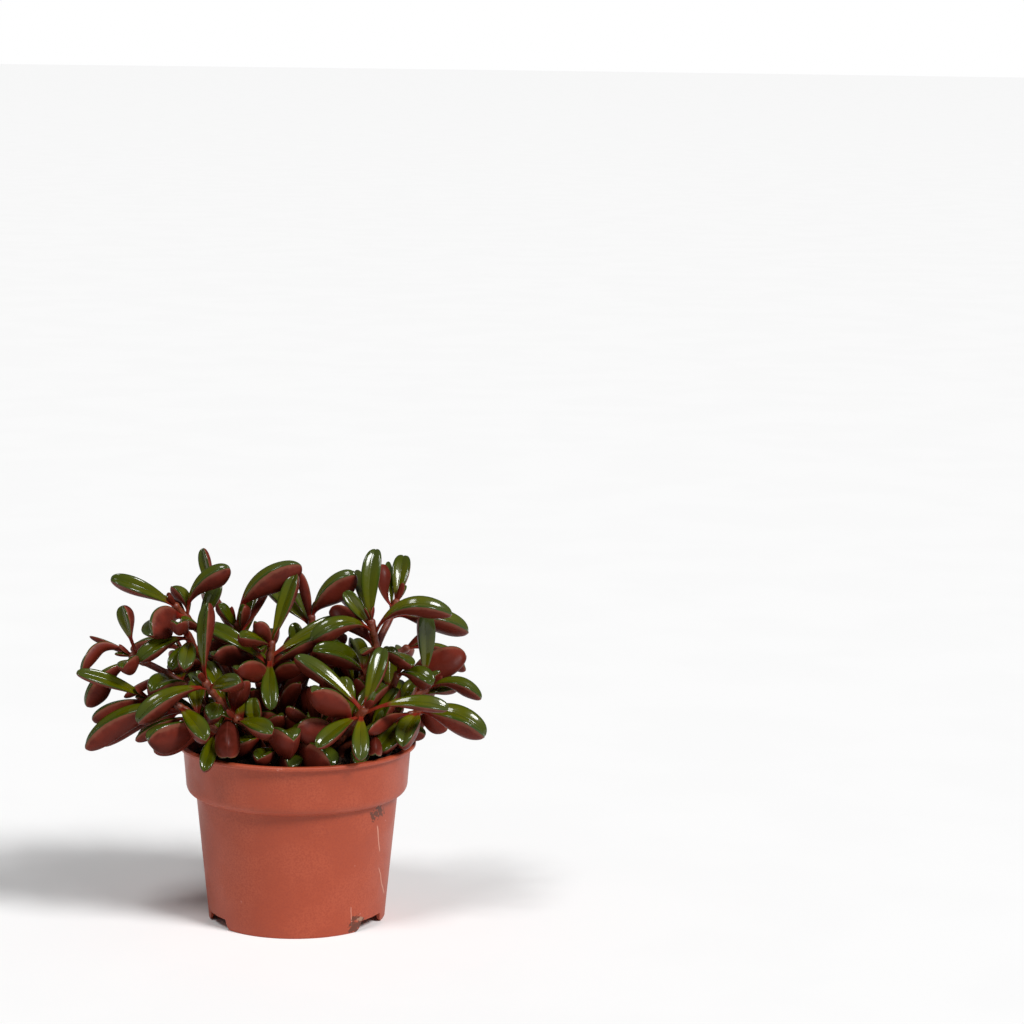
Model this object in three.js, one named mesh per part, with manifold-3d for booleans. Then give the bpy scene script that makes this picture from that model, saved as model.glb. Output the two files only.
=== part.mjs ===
// A potted succulent: many short branching stems in a moulded plastic nursery pot, with thick leaves
// folded like little boats. Millimetres, +Z up, the front of the pot towards -Y, and the origin on the
// surface that the pot stands on, under the middle of the whole plant.
import * as THREE from "three";
import { mergeVertices } from "three/addons/utils/BufferGeometryUtils.js";
import Module from "manifold-3d";

const wasm = await Module();
wasm.setup();

// Between pieces that touch, and between corners that are one
const GAP = 0.35;
const WELD = 1e-3;

// Pot. The lip stands out over the rim band, and the band over the wall. The wall tapers down to the
// ground, past the floor, and so makes a low skirt with notches for the water to run out.
const POT_HEIGHT = 90.6;
const LIP_RADIUS = 60;
const LIP_DROP = 2;
const LIP_EDGE = 0.5;
const BAND_TOP_RADIUS = 57.5;
const BAND_LOW_RADIUS = 56;
const BAND_LOW_Z = 70.6;
const BAND_UNDER_Z = 64.8;
const WALL_TOP_RADIUS = 51;
const WALL_LOW_RADIUS = 45.15;
const WALL = 1.4;
const FLOOR_Z = 5.6;
const FLOOR_ROUND = 2;
const FOOT_RADIUS = 44.6;
const NOTCHES = 3;
const NOTCH_WIDTH = 17.8;
const NOTCH_HEIGHT = 5.2;
const NOTCH_FLARE = 4.2;
const NOTCH_START = -0.06;
const DRAIN_HOLES = 8;
const DRAIN_RADIUS = 3.5;
const DRAIN_CIRCLE = 27;
const DRAIN_SIDES = 8;
const POT_SEGMENTS = 36;
const CURVE_STEPS = 4;

// Soil
const SOIL_Z = 83;
const SOIL_RADIUS = 54.8;
const SOIL_EDGE_Z = 81.4;
const SOIL_EDGE_WIDTH = 6;

// Plant. The leaves reach further to the left of the pot's axis than to the right, so the axis stands
// right of the origin. Places on the plant are measured from the foot of the pot's axis.
const CROWN_LEAN = 6;
const STEM_RADIUS = 2.2;
const STEM_RISE = 4;
const STEM_SIDES = 8;
const STEM_STEPS = 8;

// Leaf. Shares are of its length, or of its width for the depth of the keel and of the groove. The
// stalk's end is round, and has its full radius after that radius times the taper.
const STALK_RADIUS = 1.2;
const STALK_TAPER = 0.75;
const STALK_SHARE = 0.1;
const BROADEST = 0.5;
const TIP_START = 0.6;
const DEPTH_SHARE = 0.85;
const GROOVE_SHARE = 0.16;
const LEAF_SIDES = 8;
const LEAF_RINGS = 9;
const NO_SIZE = 1e-6;

const POT_COLOR = 0xad5a40;
const SOIL_COLOR = 0x2b1f17;
const STEM_COLOR = 0x8c3f24;
const LEAF_COLOR = 0x4a5a1c;

// Every shoot, from left to right and then the far side. route is its middle line, from the soil or,
// for a branch, from the point called start on the shoot it grew from, to the growing tip.
// A leaf is: how far along the shoot it sits, where its own tip lies, which way its green face looks,
// its arch as a share of its length, and its width.
const SHOOTS = [
  {
    name: "far_left",
    stem: "left",
    route: [[-24, 2, 83], [-42, -1, 106], [-62, -5, 124], [-82, -10, 136]],
    leaves: [
      [0.97, [-88.5, -4, 159.5], [-1, -0.9, 0.2], 0.03, 8.5],
      [1, [-107, -20, 131], [-0.5, 0.6, 1], 0.38, 8],
      [0.95, [-106, -18, 113], [0, 0.1, 1], 0.2, 9.5],
    ],
  },
  {
    name: "low_left",
    stem: "left",
    from: "far_left",
    start: 0.3,
    route: [[-52, -12, 107], [-63, -17, 112], [-73, -22, 117]],
    leaves: [
      [1, [-107, -32, 133], [0, -1, 0.8], 0.05, 7.5],
      [0.95, [-102, -22, 108], [-0.3, 0.2, 1], 0.12, 9],
    ],
  },
  {
    name: "upper_left",
    stem: "upper_left",
    route: [[-14, 10, 83], [-30, 12, 112], [-44, 10, 138], [-61, 2, 159]],
    leaves: [
      [1, [-92, -6, 175.5], [0.1, -1, 0.9], 0.12, 8.5],
      [0.92, [-35, -2, 181], [-0.5, -0.4, 1], 0.18, 9.5],
      [0.92, [-74.5, -24, 151.5], [-0.4, 0.9, 0.8], 0.2, 13],
    ],
  },
  {
    name: "inner_left",
    stem: "upper_left",
    from: "upper_left",
    start: 0.35,
    route: [[-42, 2, 126], [-50, -6, 137], [-55, -12, 148]],
    leaves: [
      [0.95, [-79, -22, 137], [0, -0.5, 1], 0.16, 9.5],
      [0.92, [-55, -36, 137], [0, -1, 0.8], 0.08, 9],
    ],
  },
  {
    name: "mid_left",
    stem: "mid_left",
    route: [[-8, 8, 83], [-16, 10, 112], [-25, 10, 134], [-31, 6, 149]],
    leaves: [
      [1, [1, 4, 182], [-0.6, -0.3, 1], 0.2, 11],
      [0.97, [-38, -2, 160.5], [1, -0.8, 0.3], 0.05, 6.5],
    ],
  },
  {
    name: "back_left",
    stem: "mid_left",
    from: "mid_left",
    start: 0.55,
    route: [[-29, 16, 140], [-37, 18, 150], [-42, 16, 162]],
    leaves: [
      [0.97, [-49, 24, 184], [-0.6, -1, 0.2], 0.03, 6.5],
    ],
  },
  {
    name: "front_left",
    stem: "front_left",
    route: [[-16, -14, 83], [-24, -20, 100], [-36, -26, 113], [-45, -32, 127]],
    leaves: [
      [1, [-45.5, -28, 166], [-1, -1, 0.1], 0.06, 8],
      [0.96, [-79, -46, 112], [0, -0.4, 1], 0.16, 10],
      [0.95, [-29.5, -52, 133], [-0.1, -1, 0.6], 0.06, 9],
    ],
  },
  {
    name: "rim_left",
    stem: "front_left",
    from: "front_left",
    start: 0.2,
    route: [[-32, -25, 96], [-46, -30, 107], [-59, -33, 116]],
    leaves: [
      [0.97, [-106, -28, 95], [0, -0.2, 1], 0.16, 10.5],
      [0.97, [-44.5, -60, 107], [-0.2, -0.6, 1], 0.06, 10],
      [0.66, [-73, -50, 106.5], [0, 0.3, 1], 0.06, 13.5],
      [0.5, [-45.1, -54, 89.5], [0.1, -1, 0.4], 0.08, 8],
    ],
  },
  {
    name: "front_low",
    stem: "front_low",
    route: [[-4, -22, 83], [-10, -27, 93], [-18, -32, 102], [-30, -37, 110]],
    leaves: [
      [1, [-13.5, -58, 109.5], [-0.1, -0.5, 1], 0.06, 10],
      [0.5, [-2, -50, 107], [-0.1, 0.55, 1], 0.1, 14.5],
    ],
  },
  {
    name: "front_middle",
    stem: "front_low",
    from: "front_low",
    start: 0.2,
    route: [[2, -26, 91], [8, -29, 96], [12, -30, 102]],
    leaves: [],
  },
  {
    name: "middle",
    stem: "middle",
    route: [[-4, -4, 83], [-9, -6, 105], [-14, -6, 127], [-13, -8, 142]],
    leaves: [
      [1, [-2, 0, 176], [-0.5, -1, 0.3], 0.05, 8.5],
      [0.86, [-13, -32, 115], [0, -1, 0.9], 0.06, 9],
      [0.82, [-46, -4, 151], [0.3, -1, 0.8], 0.08, 9],
    ],
  },
  {
    name: "top_middle",
    stem: "middle",
    from: "middle",
    start: 0.3,
    route: [[2, 6, 116], [8, 13, 134], [7, 14, 151]],
    leaves: [
      [1, [28, 10, 176], [-0.6, -0.1, 1], 0.16, 10.5],
      [0.93, [-16, 26, 167], [0.3, -1, 0.6], 0.05, 8],
    ],
  },
  {
    name: "upper_right",
    stem: "upper_right",
    route: [[10, 2, 83], [26, 2, 112], [39, 0, 136], [37, -4, 152]],
    leaves: [
      [1, [39, 10, 187], [-0.1, -1, 0.2], 0.05, 10],
      [0.97, [24, -2, 167], [-0.6, -0.6, 1], 0.06, 7.5],
      [0.95, [6, -18, 147], [0, -0.6, 1], 0.25, 10],
      [0.93, [77.5, -12, 159], [0, -0.5, 1], 0.3, 10],
    ],
  },
  {
    name: "top_right",
    stem: "upper_right",
    from: "upper_right",
    start: 0.7,
    route: [[42, 4, 143], [46, 9, 150], [50, 12, 159]],
    leaves: [
      [1, [54, 28, 181], [-0.3, -1, 0.2], 0.04, 9.5],
      [0.8, [88, 15, 145], [0.1, -0.4, 1], 0.13, 11.5],
    ],
  },
  {
    name: "right",
    stem: "right",
    route: [[20, 2, 83], [36, -2, 100], [52, -4, 111], [65, -2, 117]],
    leaves: [
      [0.97, [64.5, -3, 157], [0.2, -1, 0.1], 0.03, 9.5],
      [0.8, [85, 10, 135], [-0.1, 1, 0.6], 0.2, 13.5],
      [1, [93, -10, 115], [0, -0.4, 1], 0.28, 8.5],
    ],
  },
  {
    name: "right_inner",
    stem: "right",
    from: "right",
    start: 0.3,
    route: [[40, -6, 106], [46, -9, 116], [50, -13, 127]],
    leaves: [
      [1, [67, -29, 127], [0, -0.5, 1], 0.2, 10],
    ],
  },
  {
    name: "low_right",
    stem: "low_right",
    route: [[22, -8, 83], [34, -12, 94], [47, -14, 102], [61, -16, 109]],
    leaves: [
      [1, [95, -26, 100], [0, -0.45, 1], 0.18, 12.5],
    ],
  },
  {
    name: "rim_right",
    stem: "low_right",
    from: "low_right",
    start: 0.25,
    route: [[33, -19, 91], [38, -27, 103]],
    leaves: [],
  },
  {
    name: "front_right",
    stem: "front_right",
    route: [[12, -20, 83], [20, -28, 96], [28, -34, 107], [33, -38, 115]],
    leaves: [
      [1, [42, -22, 143], [-0.5, -1, 0.2], 0.04, 9.5],
      [0.97, [0, -30, 141], [0.3, -0.6, 1], 0.06, 10],
      [0.95, [74, -42, 117], [0, -0.5, 1], 0.12, 9],
      [0.92, [31, -60, 96], [0, -1, 0.8], 0.08, 9],
    ],
  },
  {
    name: "back_middle",
    stem: "back_middle",
    route: [[-2, 20, 83], [-5, 25, 100], [-8, 29, 114], [-12, 32, 126]],
    leaves: [
      [1, [-20, 60, 127], [0, 0.3, 1], 0.2, 10],
    ],
  },
  {
    name: "back_side_left",
    stem: "back_left",
    route: [[-18, 20, 83], [-32, 30, 104], [-46, 36, 118], [-58, 38, 128]],
    leaves: [
      [1, [-86, 42, 130], [0, 0, 1], 0.2, 10],
    ],
  },
  {
    name: "back_side_right",
    stem: "back_right",
    route: [[20, 18, 83], [32, 30, 106], [44, 36, 122], [56, 38, 130]],
    leaves: [
      [1, [88, 44, 118], [0, 0, 1], 0.2, 10],
    ],
  },
];

// Joins equal corners and drops the slivers where a lathe or a sphere meets its own axis
function welded(geometry) {
  const bare = geometry.clone();
  bare.deleteAttribute("normal");
  bare.deleteAttribute("uv");
  const merged = mergeVertices(bare, WELD);
  const corners = merged.index.array;
  const kept = [];
  for (let i = 0; i < corners.length; i += 3) {
    const [a, b, c] = corners.slice(i, i + 3);
    if (a !== b && b !== c && c !== a) kept.push(a, b, c);
  }
  merged.setIndex(kept);
  return merged;
}

function toSolid(geometry) {
  const clean = welded(geometry);
  return new wasm.Manifold(
    new wasm.Mesh({
      numProp: 3,
      vertProperties: new Float32Array(clean.attributes.position.array),
      triVerts: new Uint32Array(clean.index.array),
    }),
  );
}

function toGeometry(solid) {
  const mesh = solid.getMesh();
  const geometry = new THREE.BufferGeometry();
  geometry.setAttribute("position", new THREE.BufferAttribute(new Float32Array(mesh.vertProperties), 3));
  geometry.setIndex([...mesh.triVerts]);
  geometry.computeVertexNormals();
  return geometry;
}

function piece(name, geometry, color, roughness) {
  const mesh = new THREE.Mesh(geometry, new THREE.MeshStandardMaterial({ color, roughness, metalness: 0 }));
  mesh.name = name;
  return mesh;
}

// A lathe turns about Y, so its outline is turned upright
function turned(points) {
  return new THREE.LatheGeometry(points, POT_SEGMENTS).rotateX(Math.PI / 2);
}

// The inside of the pot's wall, from the floor's edge up to the rim band, moved in by a gap
function insideWall(outline, gap) {
  const inset = WALL + gap;
  const floorTop = FLOOR_Z + inset;
  const shelf = BAND_UNDER_Z + inset;
  outline.lineTo(WALL_LOW_RADIUS - inset - FLOOR_ROUND, floorTop);
  outline.lineTo(WALL_LOW_RADIUS - inset, floorTop + FLOOR_ROUND);
  outline.lineTo(WALL_TOP_RADIUS - inset, shelf);
  outline.quadraticCurveTo(BAND_LOW_RADIUS - inset, shelf, BAND_LOW_RADIUS - inset, BAND_LOW_Z + WALL);
}

// A notch seen from outside, with its height along Y. It flares at the ground, which rounds the corners
// of the skirt beside it.
function notchShape() {
  const half = NOTCH_WIDTH / 2;
  const shape = new THREE.Shape();
  shape.moveTo(-half - NOTCH_FLARE, -GAP);
  shape.lineTo(half + NOTCH_FLARE, -GAP);
  shape.lineTo(half + NOTCH_FLARE, 0);
  shape.quadraticCurveTo(half, 0, half, NOTCH_FLARE);
  shape.lineTo(half, NOTCH_HEIGHT);
  shape.lineTo(-half, NOTCH_HEIGHT);
  shape.lineTo(-half, NOTCH_FLARE);
  shape.quadraticCurveTo(-half, 0, -half - NOTCH_FLARE, 0);
  return shape;
}

// The notch, cut outwards from the pot's axis towards the front and then turned to its own place
function skirtNotch(number) {
  const options = { depth: LIP_RADIUS, curveSegments: CURVE_STEPS, bevelEnabled: false };
  const notch = new THREE.ExtrudeGeometry(notchShape(), options).rotateX(Math.PI / 2);
  return toSolid(notch.rotateZ(((number + 1.5) / NOTCHES) * Math.PI * 2 + NOTCH_START));
}

function drainHole(x, y) {
  const hole = new THREE.CylinderGeometry(DRAIN_RADIUS, DRAIN_RADIUS, WALL * 4, DRAIN_SIDES);
  return toSolid(hole.rotateX(Math.PI / 2).translate(x, y, FLOOR_Z));
}

// One moulded shell: floor, tapered wall with its skirt, rim band and lip
function potShell() {
  const lipUnder = POT_HEIGHT - LIP_DROP;
  const outline = new THREE.Path();
  outline.moveTo(0, FLOOR_Z + WALL);
  insideWall(outline, 0);
  outline.lineTo(BAND_TOP_RADIUS - WALL, lipUnder);
  outline.lineTo(BAND_TOP_RADIUS, POT_HEIGHT);
  outline.lineTo(LIP_RADIUS - LIP_EDGE, POT_HEIGHT);
  outline.lineTo(LIP_RADIUS, POT_HEIGHT - LIP_EDGE);
  outline.lineTo(LIP_RADIUS, lipUnder + LIP_EDGE);
  outline.lineTo(LIP_RADIUS - LIP_EDGE, lipUnder);
  outline.lineTo(BAND_TOP_RADIUS, lipUnder);
  outline.lineTo(BAND_LOW_RADIUS, BAND_LOW_Z);
  outline.quadraticCurveTo(BAND_LOW_RADIUS, BAND_UNDER_Z, WALL_TOP_RADIUS, BAND_UNDER_Z);
  outline.lineTo(FOOT_RADIUS, 0);
  outline.lineTo(FOOT_RADIUS - WALL, 0);
  outline.lineTo(WALL_LOW_RADIUS - WALL, FLOOR_Z);
  outline.lineTo(0, FLOOR_Z);
  let shell = toSolid(turned(outline.getPoints(CURVE_STEPS).reverse()));
  for (let i = 0; i < NOTCHES; i++) shell = shell.subtract(skirtNotch(i));
  for (let i = 0; i < DRAIN_HOLES; i++) {
    const angle = (i / DRAIN_HOLES) * Math.PI * 2;
    shell = shell.subtract(drainHole(DRAIN_CIRCLE * Math.cos(angle), DRAIN_CIRCLE * Math.sin(angle)));
  }
  return toGeometry(shell.subtract(drainHole(0, 0)));
}

// Soil and roots fill the pot to just under its lip
function soilPlug() {
  const outline = new THREE.Path();
  outline.moveTo(0, FLOOR_Z + WALL + GAP);
  insideWall(outline, GAP);
  outline.lineTo(SOIL_RADIUS, SOIL_EDGE_Z);
  outline.lineTo(SOIL_RADIUS - SOIL_EDGE_WIDTH, SOIL_Z);
  outline.lineTo(0, SOIL_Z);
  return toGeometry(toSolid(turned(outline.getPoints(CURVE_STEPS))));
}

// A place over the soil, given a place on it
const lifted = (place, height) => new THREE.Vector3(place.x, place.y, SOIL_Z + height);

// The stems' middle lines. A stem rises upright from the soil, and a branch starts on the middle line
// of the shoot that it grew from.
const routes = {};
for (const shoot of SHOOTS) {
  const points = shoot.route.map(([x, y, z]) => new THREE.Vector3(x, y, z));
  if (shoot.from) points.unshift(routes[shoot.from].getPointAt(shoot.start));
  else points.splice(0, 1, lifted(points[0], GAP), lifted(points[0], STEM_RISE));
  routes[shoot.name] = new THREE.CatmullRomCurve3(points, false, "centripetal");
}

function stemSolid(route) {
  const section = new THREE.Shape();
  section.absarc(0, 0, STEM_RADIUS, 0, Math.PI * 2);
  const curveSegments = STEM_SIDES / 2;
  const options = { curveSegments, steps: STEM_STEPS, extrudePath: route, bevelEnabled: false };
  return toSolid(new THREE.ExtrudeGeometry(section, options));
}

function stemGeometry(stem) {
  const shoots = SHOOTS.filter((shoot) => shoot.stem === stem);
  const solids = shoots.map((shoot) => stemSolid(routes[shoot.name]));
  return toGeometry(solids.reduce((whole, branch) => whole.add(branch)));
}

// From 0 to 1 between two places, easing in and out, and the value that lies a share of the way
const eased = (value, from, to) => THREE.MathUtils.smoothstep(value, from, to);
const mixed = (from, to, share) => THREE.MathUtils.lerp(from, to, share);

// A sphere drawn out along Y into a stalk and a boat: grooved face up, round keel down
function leafGeometry(length, width, arch) {
  const geometry = new THREE.SphereGeometry(1, LEAF_SIDES, LEAF_RINGS);
  const place = geometry.attributes.position;
  for (let i = 0; i < place.count; i++) {
    const along = (1 + place.getY(i)) / 2;
    const ring = Math.max(Math.hypot(place.getX(i), place.getZ(i)), NO_SIZE);
    const across = place.getX(i) / ring;
    const height = place.getZ(i) / ring;
    const blade = eased(along, STALK_SHARE, BROADEST);
    const past = Math.max(0, along - TIP_START) / (1 - TIP_START);
    const round = Math.sqrt(1 - past * past);
    const half = mixed(STALK_RADIUS, width / 2, blade) * round;
    const keel = mixed(STALK_RADIUS, width * DEPTH_SHARE, blade) * round;
    const groove = mixed(STALK_RADIUS, -width * GROOVE_SHARE * height, blade) * round;
    const up = height * (height > 0 ? groove : keel);
    const turn = Math.atan(4 * arch * (1 - 2 * along));
    place.setX(i, across * half);
    place.setY(i, along * length - up * Math.sin(turn));
    place.setZ(i, 4 * arch * length * along * (1 - along) + up * Math.cos(turn));
  }
  geometry.computeVertexNormals();
  return geometry;
}

// A leaf starts on the skin of its stem, on the side that it grows to, or on the stem's end, and ends
// at its own tip. Its stalk stands off a little more where it leaves the stem at a slant.
function leafMesh(shoot, number, [at, tip, look, arch, width]) {
  const route = routes[shoot.name];
  const root = route.getPointAt(at);
  const grain = route.getTangentAt(at);
  const end = new THREE.Vector3(...tip);
  const line = end.clone().sub(root).normalize();
  const face = new THREE.Vector3(...look);
  const side = line.clone().addScaledVector(grain, -line.dot(grain)).normalize();
  const away = at < 1 ? side : grain;
  const start = line.clone().addScaledVector(face.normalize(), 4 * arch).normalize();
  const rise = start.dot(away);
  const lift = STALK_RADIUS * Math.max(0, Math.sqrt(1 - rise * rise) - rise * STALK_TAPER);
  root.addScaledVector(away, (at < 1 ? STEM_RADIUS : 0) + GAP + lift);
  line.copy(end).sub(root);
  const length = line.length();
  line.normalize();
  face.addScaledVector(line, -face.dot(line)).normalize();
  const across = line.clone().cross(face);
  const mesh = piece(`leaf_${shoot.name}_${number}`, leafGeometry(length, width, arch), LEAF_COLOR, 0.35);
  mesh.position.copy(root);
  mesh.quaternion.setFromRotationMatrix(new THREE.Matrix4().makeBasis(across, line, face));
  return mesh;
}

const plant = new THREE.Group();
const stems = [...new Set(SHOOTS.map((shoot) => shoot.stem))];
for (const stem of stems) plant.add(piece(`stem_${stem}`, stemGeometry(stem), STEM_COLOR, 0.5));
for (const shoot of SHOOTS) {
  shoot.leaves.forEach((leaf, index) => plant.add(leafMesh(shoot, index + 1, leaf)));
}

const potted = new THREE.Group();
potted.add(piece("pot", potShell(), POT_COLOR, 0.45));
potted.add(piece("soil", soilPlug(), SOIL_COLOR, 0.95));
potted.add(plant);
potted.position.x = CROWN_LEAN;

export default potted;
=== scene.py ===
# %% [markdown]
# # A potted peperomia
#
# This lesson builds the looks of a small succulent in a plastic nursery pot: short branching stems and
# about two hundred thick leaves that are folded like little boats. The measured model of the plant is
# loaded first, and each of its parts is then replaced by a finer piece. Both share one frame, so nothing
# has to be fitted later: a leaf goes where the measured leaf is, and more leaves grow between them.

# %% Load the measured model
import math
import random

import bmesh
import bpy
import numpy as np
from mathutils import Matrix, Vector, geometry


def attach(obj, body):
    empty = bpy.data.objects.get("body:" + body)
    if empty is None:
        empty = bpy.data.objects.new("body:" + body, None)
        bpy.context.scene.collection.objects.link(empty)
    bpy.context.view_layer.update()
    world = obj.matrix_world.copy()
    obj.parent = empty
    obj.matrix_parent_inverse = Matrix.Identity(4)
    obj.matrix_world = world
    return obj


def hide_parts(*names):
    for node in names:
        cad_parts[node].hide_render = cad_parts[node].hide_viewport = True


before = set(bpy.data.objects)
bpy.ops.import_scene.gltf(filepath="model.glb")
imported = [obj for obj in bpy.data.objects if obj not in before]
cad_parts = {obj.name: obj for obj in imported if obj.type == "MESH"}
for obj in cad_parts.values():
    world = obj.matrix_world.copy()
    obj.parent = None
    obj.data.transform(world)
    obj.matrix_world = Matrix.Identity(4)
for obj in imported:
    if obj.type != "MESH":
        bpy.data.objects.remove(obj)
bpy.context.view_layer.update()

print("measured parts:", len(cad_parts))

# %% [markdown]
# Sizes are easier to read in millimetres, but Blender works in metres, so one number turns the first
# into the second. The leaves reach further to the left than to the right, so the axis of the pot stands
# a little right of the origin. Places in the tables below are measured from the foot of that axis.

# %% Millimetres and the pot's axis
MM = 0.001
POT_AXIS = Vector((6, 0, 0))


def metres(place):
    """A place in millimetres from the foot of the pot's axis, in Blender's metres."""
    return (Vector(place) + POT_AXIS) * MM


# %% [markdown]
# ## Camera
#
# The plant was photographed from about a metre and a half away and from a little above, with a long
# lens. A long lens keeps the pot's sides almost parallel. The camera looks past the plant to the right,
# because the plant stands in the left part of the picture, so it is turned rather than shifted.

# %% Camera
CAMERA_PLACE = (0, -1500, 443)
CAMERA_LENS, CAMERA_SENSOR = 106.6, 36
CAMERA_DOWN, CAMERA_RIGHT, CAMERA_ROLL = (math.radians(turn) for turn in (8.90, 4.09, 0.76))

camera_data = bpy.data.cameras.new("plant_camera")
camera_data.lens = CAMERA_LENS
camera_data.sensor_width = CAMERA_SENSOR
camera = bpy.data.objects.new("plant_camera", camera_data)
camera.matrix_world = (
    Matrix.Translation(metres(CAMERA_PLACE))
    @ Matrix.Rotation(-CAMERA_RIGHT, 4, "Z")
    @ Matrix.Rotation(math.pi / 2 - CAMERA_DOWN, 4, "X")
    @ Matrix.Rotation(CAMERA_ROLL, 4, "Z")
)
bpy.context.scene.collection.objects.link(camera)
bpy.context.scene.camera = camera
print("camera stands", round(camera.location.length, 2), "m from the plant")

# %% [markdown]
# ## Studio
#
# The picture was taken in a light tent. Most light comes evenly from all round and back up from the
# white floor. One wide soft light on the right makes that side of the pot brighter, and a smaller one
# from the upper left gives the long streaks on the glossy leaves. Sun lamps with a wide disc do this
# well: their light is the same all over the floor, so the floor stays evenly pale, and a wide disc
# gives soft shadows and broad highlights. What the camera sees behind the floor is as pale as it is.

# %% Floor, sky and lamps
TENT_GLOW, FLOOR_GLOW = 0.15, 1.0
STUDIO_RADIUS = 40
scene = bpy.context.scene
scene.view_settings.view_transform = "Standard"


def deselect_all():
    """The loaded parts are selected at first, and a tool works on all that is selected."""
    bpy.ops.object.select_all(action="DESELECT")


def wide_sun(name, side, height, disc, strength):
    """A soft light far away. side is degrees to the right of the camera, height degrees over the floor."""
    data = bpy.data.lights.new(name, "SUN")
    data.angle = math.radians(disc)
    data.energy = strength
    light = bpy.data.objects.new(name, data)
    light.rotation_euler = (math.radians(90 - height), 0, math.radians(side))
    scene.collection.objects.link(light)


wide_sun("right_light", side=46, height=45, disc=18, strength=2.7)
wide_sun("upper_left_light", side=-38, height=62, disc=16, strength=1.1)

world = bpy.data.worlds.new("light_tent")
world.use_nodes = True
sky = world.node_tree.nodes["Background"]
seen = world.node_tree.nodes.new("ShaderNodeLightPath")
glow = world.node_tree.nodes.new("ShaderNodeMapRange")
glow.inputs["To Min"].default_value, glow.inputs["To Max"].default_value = TENT_GLOW, FLOOR_GLOW
world.node_tree.links.new(seen.outputs["Is Camera Ray"], glow.inputs["Value"])
world.node_tree.links.new(glow.outputs["Result"], sky.inputs["Strength"])
sky.inputs["Color"].default_value = (1, 1, 1, 1)
scene.world = world

deselect_all()
bpy.ops.mesh.primitive_circle_add(vertices=96, radius=STUDIO_RADIUS, fill_type="NGON")
floor = bpy.context.object
floor.name = "studio_floor"

# %% [markdown]
# ## Helpers for nodes
#
# Every finish is a small net of nodes. One helper adds a node and fills its sockets, either with a
# value or with a link. The others are one node each: a mix, a step of arithmetic, a soft step. They
# keep the cells below as short as the idea that they show.

# %% Node helpers
def add_node(tree, kind, sockets=None, **settings):
    """Adds a node. A socket's value may be a number, a colour or another node's output."""
    node = tree.nodes.new(kind)
    for key, value in settings.items():
        setattr(node, key, value)
    for key, value in (sockets or {}).items():
        if isinstance(value, bpy.types.NodeSocket):
            tree.links.new(value, node.inputs[key])
        else:
            node.inputs[key].default_value = value
    return node


def mix_colours(tree, share, first, second):
    """Goes from the first colour to the second as share goes from 0 to 1."""
    return add_node(tree, "ShaderNodeMix", {0: share, 6: first, 7: second}, data_type="RGBA").outputs[2]


def mix_numbers(tree, share, first, second):
    """Goes from the first number to the second as share goes from 0 to 1."""
    return add_node(tree, "ShaderNodeMix", {0: share, 2: first, 3: second}).outputs[0]


def reckon(tree, kind, first, second=0.0):
    """One step of arithmetic on one or two numbers."""
    return add_node(tree, "ShaderNodeMath", {0: first, 1: second}, operation=kind).outputs[0]


def times(tree, first, second):
    return reckon(tree, "MULTIPLY", first, second)


def plus(tree, first, second):
    return reckon(tree, "ADD", first, second)


def minus(tree, first, second):
    return reckon(tree, "SUBTRACT", first, second)


def fade(tree, value, start, end, low=0.0, high=1.0):
    """A soft step from low to high while value goes from start to end."""
    sockets = {"Value": value, "From Min": start, "From Max": end, "To Min": low, "To Max": high}
    node = add_node(tree, "ShaderNodeMapRange", sockets, interpolation_type="SMOOTHSTEP")
    return node.outputs["Result"]


def rgb(red, green, blue):
    """A colour as picked on a screen, 0 to 255, turned into the linear values that a shader takes."""
    levels = [level / 255 for level in (red, green, blue)]
    return (*(((v + 0.055) / 1.055) ** 2.4 if v > 10 / 255 else v / 12.92 for v in levels), 1)


def new_finish(name):
    """A new material with its node tree, its shader and the place on the piece that patterns need."""
    material = bpy.data.materials.new(name)
    material.use_nodes = True
    tree = material.node_tree
    place = add_node(tree, "ShaderNodeTexCoord").outputs["Object"]
    return material, tree, tree.nodes["Principled BSDF"], place


def new_group(name, inputs, outputs):
    """A node group with named inputs (type and default) and outputs (type)."""
    group = bpy.data.node_groups.new(name, "ShaderNodeTree")
    for key, (kind, value) in inputs.items():
        socket = group.interface.new_socket(key, in_out="INPUT", socket_type=kind)
        if value is not None:
            socket.default_value = value
    for key, kind in outputs.items():
        group.interface.new_socket(key, in_out="OUTPUT", socket_type=kind)
    return group, group.nodes.new("NodeGroupInput"), group.nodes.new("NodeGroupOutput")


# %% [markdown]
# Plain plastic, skin and soil all have one thing in common: nothing in them is even. A mottle group
# turns noise into a soft mask between 0 and 1, and a grain group gives the small height changes that
# break up a highlight. Both are built once and used by every finish with other sizes.

# %% Mottle and grain groups
FLOAT, VECTOR = "NodeSocketFloat", "NodeSocketVector"

mottle, given, result = new_group(
    "mottle",
    {"Place": (VECTOR, None), "Size": (FLOAT, 100.0), "Start": (FLOAT, 0.4), "End": (FLOAT, 0.6)},
    {"Mask": FLOAT},
)
clouds = {"Vector": given.outputs["Place"], "Scale": given.outputs["Size"], "Detail": 4}
cloud_height = add_node(mottle, "ShaderNodeTexNoise", clouds).outputs["Fac"]
soft_mask = fade(mottle, cloud_height, given.outputs["Start"], given.outputs["End"])
mottle.links.new(soft_mask, result.inputs["Mask"])

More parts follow.
